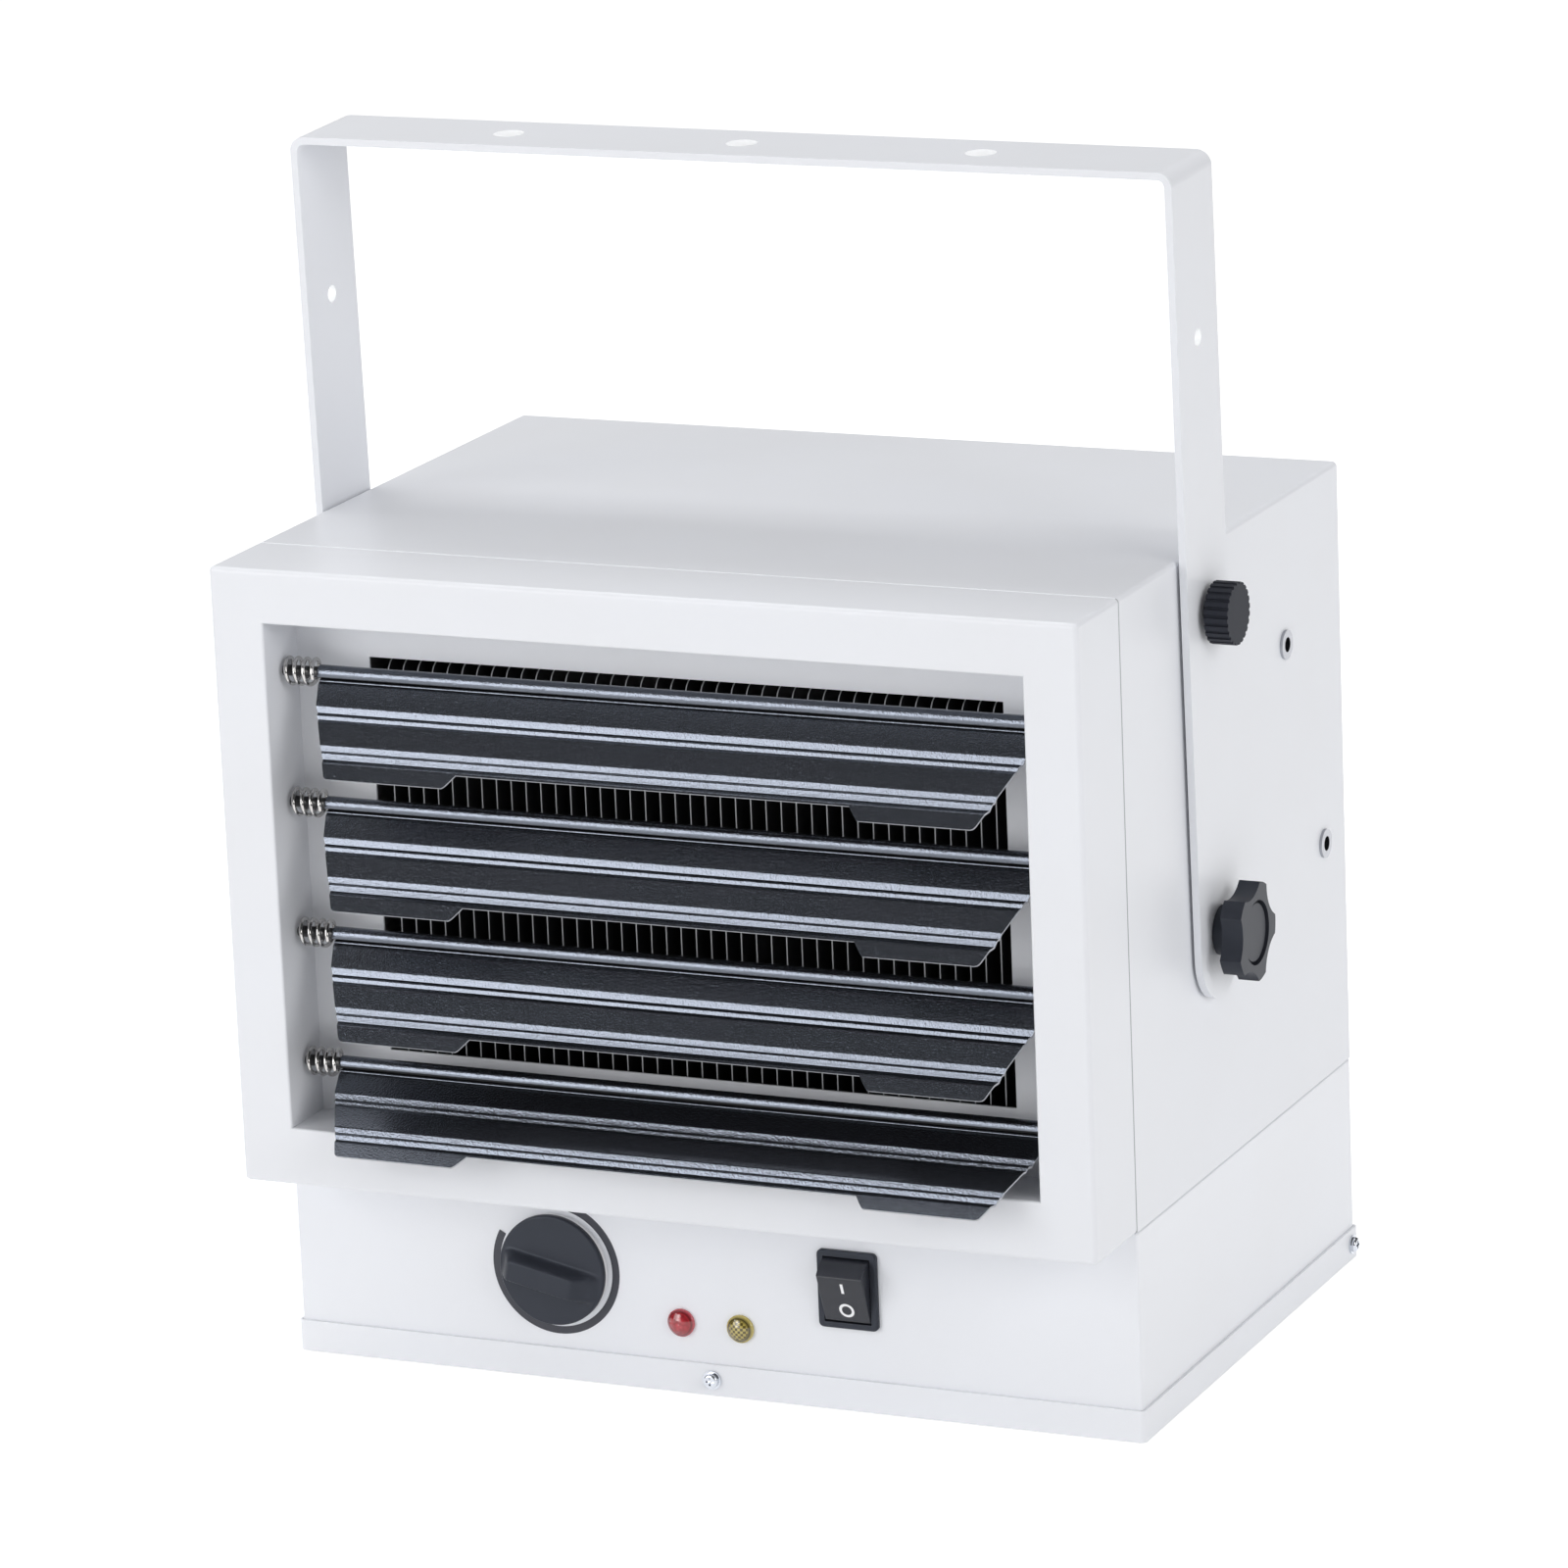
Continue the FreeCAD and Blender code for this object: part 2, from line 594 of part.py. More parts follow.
def element_end_plates():
    """Angle plates screwed to the baffle's back that hold the element tubes."""
    left, right = end_plate_faces()
    low = WINDOW_Z0 - END_PLATE_REACH
    high = WINDOW_Z1 + END_PLATE_REACH
    back = FIN_BACK + END_PLATE_REACH
    plates = []
    for inner, outward in ((left, -1.0), (right, 1.0)):
        web = sorted((inner, inner + outward * SHEET))
        foot = sorted((inner, inner + outward * END_PLATE_FLANGE))
        plate = block(web[0], web[1], BAFFLE_BACK, back, low, high)
        plate = plate.fuse(block(foot[0], foot[1], BAFFLE_BACK, BAFFLE_BACK + SHEET, low, high))
        for z in tube_heights():
            plate = plate.cut(rod_x(TUBE_RADIUS + RUNNING, web[0], web[1], fin_middle_y(), z))
        plates.append(plate.removeSplitter())
    return Part.makeCompound(plates)


def heating_elements():
    """Hairpin tubes through the fins, with terminal pins at the left."""
    left, right = end_plate_faces()
    left_end = left - SHEET - TUBE_RUN_OUT
    right_end = right + SHEET + TUBE_RUN_OUT
    heights = tube_heights()
    y = fin_middle_y()
    pins = []
    for pair in range(HAIRPIN_COUNT):
        low = heights[2 * pair]
        high = heights[2 * pair + 1]
        bend = (high - low) / 2
        leg = rod_x(TUBE_RADIUS, left_end, right_end, y, low)
        other = rod_x(TUBE_RADIUS, left_end, right_end, y, high)
        ring = Part.makeTorus(bend, TUBE_RADIUS, Vector(right_end, y, low + bend), Vector(0, 1, 0))
        room = bend + 2 * TUBE_RADIUS
        half = block(right_end, right_end + room, y - room, y + room, low - room, high + room)
        hairpin = leg.fuse([other, ring.common(half)])
        for z in (low, high):
            hairpin = hairpin.fuse(rod_x(TERMINAL_RADIUS, left_end - TERMINAL_LENGTH, left_end, y, z))
        pins.append(hairpin.removeSplitter())
    return Part.makeCompound(pins)


def fan_shroud():
    """Plate across the chamber with a round throat for the fan and flanges at its sides."""
    half_x = HALF_WIDTH - SHEET - FIT
    low = BASE_HEIGHT + SHEET
    high = CASE_TOP - SHEET - FIT
    throat = FAN_RADIUS + FAN_TIP_GAP
    plate = block(-half_x, half_x, SHROUD_Y, SHROUD_Y + SHEET, low, high)
    for sign in SIDES.values():
        wall = sorted((sign * half_x, sign * (half_x - SHEET)))
        plate = plate.fuse(block(wall[0], wall[1], SHROUD_Y - SHROUD_FLANGE, SHROUD_Y, low, high))
    plate = plate.fuse(rod_y(throat + SHEET, 0, SHROUD_Y - SHROUD_RING, SHROUD_Y, FAN_Z))
    plate = plate.cut(rod_y(throat, 0, SHROUD_Y - SHROUD_RING, SHROUD_Y + SHEET, FAN_Z))
    return plate.removeSplitter()


def motor_bracket():
    """Hat-shaped strap across the throat that carries the motor."""
    foot_in = FAN_RADIUS + FAN_TIP_GAP + SHEET + STRAP_SHEET
    back = SHROUD_Y + SHEET
    low = FAN_Z - STRAP_WIDTH / 2
    high = FAN_Z + STRAP_WIDTH / 2
    strap = block(-foot_in, foot_in, STRAP_Y, STRAP_Y + STRAP_SHEET, low, high)
    for sign in SIDES.values():
        leg = sorted((sign * foot_in, sign * (foot_in - STRAP_SHEET)))
        foot = sorted((sign * foot_in, sign * (foot_in + STRAP_FOOT)))
        strap = strap.fuse(block(leg[0], leg[1], back, STRAP_Y + STRAP_SHEET, low, high))
        strap = strap.fuse(block(foot[0], foot[1], back, back + STRAP_SHEET, low, high))
    strap = strap.cut(rod_y(SHAFT_RADIUS + FIT, 0, STRAP_Y, STRAP_Y + STRAP_SHEET, FAN_Z))
    return strap.removeSplitter()


def motor_housing():
    """Closed motor can behind the strap, bored for the shaft."""
    can = rod_y(MOTOR_RADIUS, 0, MOTOR_FRONT, MOTOR_FRONT + MOTOR_LENGTH, FAN_Z)
    can = can.makeFillet(MOTOR_ROUND, edges_where(can, lambda c, e: near(c.y, MOTOR_FRONT + MOTOR_LENGTH)))
    tail = MOTOR_FRONT + MOTOR_LENGTH
    can = can.fuse(rod_y(MOTOR_BOSS_RADIUS, 0, tail, tail + MOTOR_BOSS_LENGTH, FAN_Z))
    return can.cut(rod_y(SHAFT_RADIUS + RUNNING, 0, MOTOR_FRONT, MOTOR_FRONT + SHAFT_IN_MOTOR + FIT, FAN_Z))


def fan_middle_y():
    return SHROUD_Y - SHROUD_RING / 2


def motor_shaft():
    front = fan_middle_y() - HUB_LENGTH / 2
    return rod_y(SHAFT_RADIUS, 0, front, MOTOR_FRONT + SHAFT_IN_MOTOR, FAN_Z)


def fan_wheel():
    """Pressed fan: pitched blades on a hub."""
    middle = fan_middle_y()
    front = middle - HUB_LENGTH / 2
    wheel = rod_y(HUB_RADIUS, 0, front, front + HUB_LENGTH, FAN_Z)
    sweep = rod_y(FAN_RADIUS, 0, middle - FAN_BLADE_CHORD, middle + FAN_BLADE_CHORD, FAN_Z)
    root = HUB_RADIUS * 0.8
    flat = block(root, FAN_RADIUS * 1.1, middle - FAN_BLADE_SHEET / 2, middle + FAN_BLADE_SHEET / 2,
                 FAN_Z - FAN_BLADE_CHORD / 2, FAN_Z + FAN_BLADE_CHORD / 2)
    flat.rotate(Vector(0, middle, FAN_Z), Vector(1, 0, 0), FAN_PITCH_ANGLE)
    blade = flat.common(sweep)
    for index in range(FAN_BLADES):
        copy = blade.copy()
        copy.rotate(Vector(0, middle, FAN_Z), Vector(0, 1, 0), index * 360.0 / FAN_BLADES)
        wheel = wheel.fuse(copy)
    wheel = wheel.cut(rod_y(SHAFT_RADIUS + RUNNING, 0, middle - FAN_BLADE_CHORD, middle + FAN_BLADE_CHORD, FAN_Z))
    return wheel.removeSplitter()


def limit_cutout():
    """Round over-heat cut-out held under the case top."""
    y = (FIN_BACK + SHROUD_Y - SHROUD_RING) / 2
    top = CASE_TOP - SHEET
    disc = rod_z(CUTOUT_RADIUS, CUTOUT_OFFSET, y, top - CUTOUT_HEIGHT, top)
    for sign in SIDES.values():
        x = CUTOUT_OFFSET + sign * CUTOUT_RADIUS / 2
        tab = block(x - SHEET, x + SHEET, y - SHEET / 2, y + SHEET / 2,
                    top - CUTOUT_HEIGHT - FLANGE / 2, top - CUTOUT_HEIGHT)
        disc = disc.fuse(tab)
    return disc.removeSplitter()


def louver_rod(z):
    end = OPEN_HALF + SHEET + ROD_OVERRUN
    return rod_x(ROD_RADIUS, -end, end, ROD_Y, z)


def blade_section(x0, x1):
    """Sheet with its beads pressed in from the front, and the rolled top, hanging straight down from the origin."""
    half = BLADE_SHEET / 2
    roll_in = ROD_RADIUS + RUNNING
    roll_out = roll_in + ROLL_WALL
    front = [(roll_out - ROLL_OVERLAP, 0.0)]
    for start, length, depth, shape in zip(BEAD_STARTS, BEAD_LENGTHS, BEAD_DEPTHS, BEAD_SHAPES):
        front += [(start + part * length, dip * depth) for part, dip in shape]
    front.append((BLADE_DROP, 0.0))
    outline = [Vector(x0, BLADE_SET_BACK + dip - half, -drop) for drop, dip in front]
    outline += [Vector(x0, BLADE_SET_BACK + dip + half, -drop) for drop, dip in reversed(front)]
    sheet = Part.Face(Part.makePolygon(outline + outline[:1])).extrude(Vector(x1 - x0, 0, 0))
    roll = rod_x(roll_out, x0, x1, 0, 0)
    return sheet.fuse(roll).cut(rod_x(roll_in, x0, x1, 0, 0)).removeSplitter()


def louver_blade(z, tilt):
    """One blade: a tapered outline with a shallow notch along its lower edge, at its tilt."""
    blade = blade_section(BLADE_X0, BLADE_X1)
    middle = (BLADE_X0 + BLADE_X1) / 2
    half = (BLADE_X1 - BLADE_X0) / 2
    above = ROD_RADIUS + ROLL_WALL + 1.0

    def half_outline(inset):
        """Outline from the top corner of one end to the notch."""
        return [(half, above), (half, -TAPER_START), (half - inset, -BLADE_DROP),
                (NOTCH_HALF + NOTCH_STEP, -BLADE_DROP), (NOTCH_HALF, -BLADE_DROP + NOTCH_DEPTH)]

    right = half_outline(TAPER_INSET_RIGHT)
    left = [(-x, drop) for x, drop in reversed(half_outline(TAPER_INSET_LEFT))]
    depth = max(BEAD_DEPTHS) + 2 * above
    corners = [Vector(middle + x, -depth, drop) for x, drop in right + left]
    prism = Part.Face(Part.makePolygon(corners + corners[:1])).extrude(Vector(0, 2 * depth, 0))
    lower = edges_where(prism, lambda c, e: along(e, Vector(0, 1, 0)) and c.z < 0)
    blade = blade.common(prism.makeFillet(BLADE_CORNER, lower))
    blade.translate(Vector(0, ROD_Y, z))
    blade.rotate(Vector(0, ROD_Y, z), Vector(1, 0, 0), -tilt)
    return blade


def arc_between(start, corner, finish):
    """The arc tangent to both sides of an even-sided corner."""
    middle = (start + finish) * 0.5
    half = (finish - start).Length / 2
    rise = (corner - middle).Length
    radius = (corner - start).Length * half / rise
    sag = radius - math.sqrt(radius * radius - half * half)
    return Part.Arc(start, middle + (corner - middle) * (sag / rise), finish), radius


def biarc(start, start_way, finish, finish_way):
    """Two arcs that join two points along their given directions."""
    gap = finish - start
    ways = start_way + finish_way
    turn = 2 * (1 - start_way.dot(finish_way))
    reach = gap.dot(ways)
    tangent = (-reach + math.sqrt(reach * reach + turn * gap.dot(gap))) / turn
    first = start + start_way * tangent
    second = finish - finish_way * tangent
    joint = (first + second) * 0.5
    return [arc_between(start, first, joint), arc_between(joint, second, finish)]


def louver_spring(z):
    """Coil spring round a rod, from the frame's left return to the blade, with straight wire ends."""
    lead = 2 * SPRING_WIRE_RADIUS
    first_x = -OPEN_HALF + SPRING_WIRE_RADIUS + FIT
    coil_length = BLADE_X0 - SPRING_WIRE_RADIUS - FIT - first_x
    last = SPRING_QUARTER_TURNS

    def at(quarter):
        angle = math.pi * quarter / 2
        return Vector(first_x + coil_length * quarter / last, ROD_Y + SPRING_MEAN_RADIUS * math.cos(angle),
                      z + SPRING_MEAN_RADIUS * math.sin(angle))

    def heading(quarter):
        angle = math.pi * quarter / 2
        advance = 2 * coil_length / (math.pi * last)
        way = Vector(advance, -SPRING_MEAN_RADIUS * math.sin(angle), SPRING_MEAN_RADIUS * math.cos(angle))
        return way.normalize()

    tip = at(0) - heading(0) * lead
    edges = [Part.LineSegment(tip, at(0)).toShape()]
    radii = []
    for quarter in range(last):
        for arc, radius in biarc(at(quarter), heading(quarter), at(quarter + 1), heading(quarter + 1)):
            edges.append(arc.toShape())
            radii.append(radius)
    edges.append(Part.LineSegment(at(last), at(last) + heading(last) * lead).toShape())
    path = Part.Wire(edges)
    ring = Part.Wire(Part.Circle(tip, heading(0), SPRING_WIRE_RADIUS).toShape())
    shell = Part.BRepOffsetAPI.MakePipeShell(path)
    shell.add(ring)
    shell.build()
    shell.makeSolid()
    return shell.shape(), path, min(radii)


def least_self_gap(path):
    """Smallest clear gap between turns of a spring, measured on points along its middle."""
    points = path.discretize(Number=400)
    step = path.Length / (len(points) - 1)
    apart = int(math.pi * SPRING_MEAN_RADIUS / step)
    least = min((a - b).Length for i, a in enumerate(points) for b in points[i + apart:])
    return least - 2 * SPRING_WIRE_RADIUS


def rivet_nut(bore, body, flange, y, z):
    """Threaded insert in the right-hand case wall."""
    nut = rod_x(flange, HALF_WIDTH, HALF_WIDTH + NUT_FLANGE_HEIGHT, y, z)
    nut = nut.fuse(rod_x(body, HALF_WIDTH - NUT_LENGTH, HALF_WIDTH, y, z))
    nut = nut.cut(rod_x(bore + RUNNING, HALF_WIDTH - NUT_LENGTH, HALF_WIDTH + NUT_FLANGE_HEIGHT, y, z))
    return nut.removeSplitter()


def lock_nuts():
    pivot, locks = nut_places()
    nuts = [rivet_nut(LOCK_RADIUS, LOCK_NUT_RADIUS, LOCK_NUT_FLANGE, y, z) for y, z in locks]
    return Part.makeCompound(nuts + [mirrored(nut) for nut in nuts])


def pivot_nuts():
    nut = rivet_nut(PIVOT_RADIUS, PIVOT_NUT_RADIUS, PIVOT_NUT_FLANGE, PIVOT_Y, PIVOT_Z)
    return Part.makeCompound([nut, mirrored(nut)])


def leaned(shape):
    """A piece of the bracket, turned with it from upright to its lean about the pivots."""
    shape.rotate(Vector(0, PIVOT_Y, PIVOT_Z), Vector(1, 0, 0), BRACKET_LEAN)
    return shape


def mounting_bracket():
    """Flat bar bent to a wide upturned U, with round lower ends just below the pivots."""
    front = PIVOT_Y - ARM_WIDTH / 2
    back = PIVOT_Y + ARM_WIDTH / 2
    tail = PIVOT_Z - ARM_TAIL
    bar = block(-ARM_OUTER, ARM_OUTER, front, back, tail, BRACKET_TOP)
    bends = edges_where(bar, lambda c, e: near(c.z, BRACKET_TOP) and along(e, Vector(0, 1, 0)))
    bar = bar.makeFillet(ARM_BEND, bends)
    under = BRACKET_TOP - ARM_THICKNESS
    inside = block(-ARM_INNER, ARM_INNER, front, back, tail, under)
    bends = edges_where(inside, lambda c, e: near(c.z, under) and along(e, Vector(0, 1, 0)))
    bar = bar.cut(inside.makeFillet(ARM_BEND - ARM_THICKNESS, bends))
    for sign in SIDES.values():
        arm = sorted((sign * ARM_INNER, sign * ARM_OUTER))
        bar = bar.fuse(rod_x(ARM_WIDTH / 2, arm[0], arm[1], PIVOT_Y, tail))
    bar = bar.removeSplitter()
    for sign in SIDES.values():
        arm = sorted((sign * ARM_INNER, sign * ARM_OUTER))
        bar = bar.cut(rod_x(PIVOT_RADIUS + RUNNING, arm[0], arm[1], PIVOT_Y, PIVOT_Z))
        bar = bar.cut(rod_x(LOCK_RADIUS + RUNNING, arm[0], arm[1], PIVOT_Y, PIVOT_Z + LOCK_REACH))
        bar = bar.cut(rod_x(ARM_HOLE_RADIUS, arm[0], arm[1], PIVOT_Y, BRACKET_TOP - ARM_HOLE_DROP))
    for place in (-1, 0, 1):
        bar = bar.cut(rod_z(CEILING_HOLE_RADIUS, place * CEILING_HOLE_SPACING, PIVOT_Y, under, BRACKET_TOP))
    return leaned(bar)


def star_knob():
    """Five-lobed clamping knob with a collar and a round cap, on the right-hand pivot."""
    inner = ARM_OUTER + FIT
    head_in = inner + STAR_COLLAR_LENGTH
    head_out = head_in + STAR_THICKNESS
    knob = lobed_prism(STAR_RADIUS, STAR_VALLEY, STAR_LOBES, STAR_LOBE_HALF_ANGLE, STAR_FIRST_ANGLE,
                       head_in, head_out)
    floor = head_out - STAR_RECESS_DEPTH
    knob = knob.cut(rod_x(STAR_RECESS_RADIUS, floor, head_out, 0, 0))
    knob = knob.fuse(rod_x(STAR_CAP_RADIUS, floor, head_out - STAR_CAP_DROP, 0, 0))
    knob = knob.fuse(rod_x(STAR_COLLAR_RADIUS, inner, head_in, 0, 0))
    knob = knob.cut(rod_x(PIVOT_RADIUS + RUNNING, inner, inner + STAR_BOLT_SEAT, 0, 0))
    knob = knob.removeSplitter()
    knob.translate(Vector(0, PIVOT_Y, PIVOT_Z))
    return knob


def pivot_bolt():
    """Bolt moulded into the star knob: it carries the arm and screws into the pivot nut."""
    return rod_x(PIVOT_RADIUS, HALF_WIDTH - NUT_LENGTH, ARM_OUTER + FIT + STAR_BOLT_SEAT, PIVOT_Y, PIVOT_Z)


def lock_cap():
    """Fluted thumb cap of the right-hand lock screw."""
    inner = ARM_OUTER + FIT
    cap_in = inner + LOCK_COLLAR_LENGTH
    cap_out = cap_in + LOCK_CAP_THICKNESS
    cap = lobed_prism(LOCK_CAP_RADIUS, LOCK_CAP_VALLEY, LOCK_CAP_FLUTES, LOCK_CAP_HALF_ANGLE, 0.0,
                      cap_in, cap_out)
    cap = cap.fuse(rod_x(LOCK_COLLAR_RADIUS, inner, cap_in, 0, 0))
    cap = cap.cut(rod_x(LOCK_RADIUS + RUNNING, inner, inner + LOCK_STUD_SEAT, 0, 0))
    cap = cap.removeSplitter()
    cap.translate(Vector(0, PIVOT_Y, PIVOT_Z + LOCK_REACH))
    return leaned(cap)


def lock_stud():
    """Threaded stud of a lock screw, backed out until it clears the lock nut."""
    return leaned(rod_x(LOCK_RADIUS, ARM_INNER, ARM_OUTER + FIT + LOCK_STUD_SEAT, PIVOT_Y, PIVOT_Z + LOCK_REACH))


def thermostat_body():
    """Thermostat behind the panel, with its bush through the panel and a bore for the shaft."""
    body = block(DIAL_X - THERMOSTAT_WIDTH / 2, DIAL_X + THERMOSTAT_WIDTH / 2, PANEL_BACK,
                 PANEL_BACK + THERMOSTAT_DEPTH, DIAL_Z - THERMOSTAT_HEIGHT / 2, DIAL_Z + THERMOSTAT_HEIGHT / 2)
    body = body.fuse(rod_y(THERMOSTAT_BUSH, DIAL_X, CASE_FRONT, PANEL_BACK, DIAL_Z))
    body = body.cut(rod_y(DIAL_SHAFT_RADIUS + RUNNING, DIAL_X, CASE_FRONT, PANEL_BACK + DIAL_SHAFT_TAIL + FIT, DIAL_Z))
    return body.removeSplitter()


def dial_face_y():
    """Front plane of the dial's disc."""
    return CASE_FRONT - DIAL_GAP - DIAL_THICKNESS


def thermostat_shaft():
    return rod_y(DIAL_SHAFT_RADIUS, DIAL_X, dial_face_y() - DIAL_SHAFT_SEAT, PANEL_BACK + DIAL_SHAFT_TAIL, DIAL_Z)


def thermostat_knob():
    """Flat dial disc with a tapered grip bar that points to the left and a little up."""
    face = dial_face_y()
    back = face + DIAL_THICKNESS
    crest = face - GRIP_HEIGHT
    disc = rod_y(DIAL_RADIUS, DIAL_X, face, back, DIAL_Z)
    disc = disc.makeFillet(DIAL_ROUND, edges_where(disc, lambda c, e: near(c.y, face)))
    point = DIAL_RADIUS - GRIP_POINT_INSET
    blunt = DIAL_RADIUS - GRIP_BLUNT_INSET

    def outline(left, right, width, y):
        x0 = DIAL_X - left
        x1 = DIAL_X + right
        z0 = DIAL_Z - width / 2
        z1 = DIAL_Z + width / 2
        corners = [Vector(x0, y, z0), Vector(x1, y, z0), Vector(x1, y, z1), Vector(x0, y, z1)]
        return Part.makePolygon(corners + corners[:1])

    base = outline(point, blunt, GRIP_BASE_WIDTH, face)
    top = outline(point - GRIP_POINT_RUN, blunt - GRIP_BLUNT_RUN, GRIP_CREST_WIDTH, crest)
    grip = Part.makeLoft([base, top], True, True)
    grip = grip.makeFillet(GRIP_ROUND, edges_where(grip, lambda c, e: near(c.y, crest)))
    grip.rotate(Vector(DIAL_X, 0, DIAL_Z), Vector(0, 1, 0), GRIP_TURN)
    knob = disc.fuse(grip.common(rod_y(DIAL_RADIUS, DIAL_X, crest, face, DIAL_Z)))
    knob = knob.cut(rod_y(DIAL_SHAFT_RADIUS + RUNNING, DIAL_X, face - DIAL_SHAFT_SEAT, back, DIAL_Z))
    return knob.removeSplitter()


def dial_trim_ring():
    """Light trim ring on the dial's back, which shows as a pale edge beside the disc."""
    back = dial_face_y() + DIAL_THICKNESS
    ring = rod_y(TRIM_RADIUS, DIAL_X, back, CASE_FRONT - FIT, DIAL_Z)
    return ring.cut(rod_y(TRIM_RADIUS - TRIM_WALL, DIAL_X, back, CASE_FRONT - FIT, DIAL_Z))


def lamp(x):
    """Neon lamp: a domed lens with a rim, and a body through the panel."""
    rim = CASE_FRONT - LAMP_RIM
    tip = rim - LAMP_DOME
    tail = CASE_FRONT + LAMP_BODY_LENGTH
    ball = (LAMP_RADIUS * LAMP_RADIUS + LAMP_DOME * LAMP_DOME) / (2 * LAMP_DOME)
    half = LAMP_RADIUS / 2
    bulge = tip + ball - math.sqrt(ball * ball - half * half)

    def at(radius, y):
        return Vector(x + radius, y, LAMP_Z)

    corners = [at(LAMP_RADIUS, rim), at(LAMP_RADIUS, CASE_FRONT), at(LAMP_BODY_RADIUS, CASE_FRONT),
               at(LAMP_BODY_RADIUS, tail), at(0, tail), at(0, tip)]
    edges = [Part.Arc(at(0, tip), at(half, bulge), at(LAMP_RADIUS, rim)).toShape()]
    edges += [Part.LineSegment(a, b).toShape() for a, b in zip(corners, corners[1:])]
    return Part.Face(Part.Wire(edges)).revolve(Vector(x, 0, LAMP_Z), Vector(0, 1, 0), 360)


def switch_half_width():
    return ROCKER_WIDTH / 2 + FIT + SWITCH_WALL


def switch_half_height():
    return ROCKER_RADIUS + ROCKER_GAP + SWITCH_WALL


def rocker_pivot_y():
    return CASE_FRONT + ROCKER_PIVOT_DEPTH


def switch_housing():
    """Snap-in rocker switch body with its bezel."""
    front = CASE_FRONT - BEZEL_PROUD
    bezel = block(SWITCH_X - BEZEL_WIDTH / 2, SWITCH_X + BEZEL_WIDTH / 2, front, CASE_FRONT,
                  SWITCH_Z - BEZEL_HEIGHT / 2, SWITCH_Z + BEZEL_HEIGHT / 2)
    bezel = bezel.makeFillet(BEZEL_CORNER, edges_where(bezel, lambda c, e: along(e, Vector(0, 1, 0))))
    bezel = bezel.makeFillet(BEZEL_PROUD / 3, edges_where(bezel, lambda c, e: near(c.y, front)))
    half_x = switch_half_width()
    half_z = switch_half_height()
    body = block(SWITCH_X - half_x, SWITCH_X + half_x, CASE_FRONT, CASE_FRONT + SWITCH_DEPTH,
                 SWITCH_Z - half_z, SWITCH_Z + half_z)
    room_x = half_x - SWITCH_WALL
    room_z = half_z - SWITCH_WALL
    body = bezel.fuse(body)
    body = body.cut(block(SWITCH_X - room_x, SWITCH_X + room_x, CASE_FRONT,
                          CASE_FRONT + SWITCH_DEPTH - SWITCH_WALL, SWITCH_Z - room_z, SWITCH_Z + room_z))
    mouth_z = math.sqrt(ROCKER_RADIUS ** 2 - ROCKER_PIVOT_DEPTH ** 2) + ROCKER_GAP
    body = body.cut(block(SWITCH_X - room_x, SWITCH_X + room_x, front, CASE_FRONT,
                          SWITCH_Z - mouth_z, SWITCH_Z + mouth_z))
    reach = ROCKER_WIDTH / 2 + TRUNNION_LENGTH + RUNNING
    body = body.cut(rod_x(TRUNNION_RADIUS + RUNNING, SWITCH_X - reach, SWITCH_X + reach, rocker_pivot_y(), SWITCH_Z))
    return body.removeSplitter()


def rocker():
    """Rocker paddle on two trunnions, resting with its lower end pressed in."""
    y = rocker_pivot_y()
    x0 = SWITCH_X - ROCKER_WIDTH / 2
    x1 = SWITCH_X + ROCKER_WIDTH / 2
    paddle = rod_x(ROCKER_RADIUS, x0, x1, y, SWITCH_Z)
    keep = block(x0, x1, y - ROCKER_FACE, y + ROCKER_SKIRT, SWITCH_Z - ROCKER_RADIUS, SWITCH_Z + ROCKER_RADIUS)
    paddle = paddle.common(keep)
    face_edges = edges_where(paddle, lambda c, e: near(c.y, y - ROCKER_FACE))
    paddle = paddle.makeFillet(ROCKER_GAP, face_edges)
    end = ROCKER_WIDTH / 2 + TRUNNION_LENGTH
    paddle = paddle.fuse(rod_x(TRUNNION_RADIUS, SWITCH_X - end, SWITCH_X + end, y, SWITCH_Z)).removeSplitter()
    paddle.rotate(Vector(SWITCH_X, y, SWITCH_Z), Vector(1, 0, 0), ROCKER_TILT)
    return paddle


def cable_bushing():
    """Round bushing for the supply cable in the back of the base."""
    outer = CABLE_BORE_RADIUS + BUSHING_WALL
    bush = rod_y(outer, CABLE_X, CASE_BACK - SHEET - BUSHING_TAIL, CASE_BACK, CABLE_Z)
    lip = rod_y(outer + BUSHING_LIP, CABLE_X, CASE_BACK, CASE_BACK + BUSHING_LIP_HEIGHT, CABLE_Z)
    rim = edges_where(lip, lambda c, e: near(c.y, CASE_BACK + BUSHING_LIP_HEIGHT))
    bush = bush.fuse(lip.makeFillet(BUSHING_LIP_HEIGHT / 2, rim))
    bush = bush.cut(rod_y(CABLE_BORE_RADIUS, CABLE_X, CASE_BACK - SHEET - BUSHING_TAIL,
                          CASE_BACK + BUSHING_LIP_HEIGHT, CABLE_Z))
    return bush.removeSplitter()


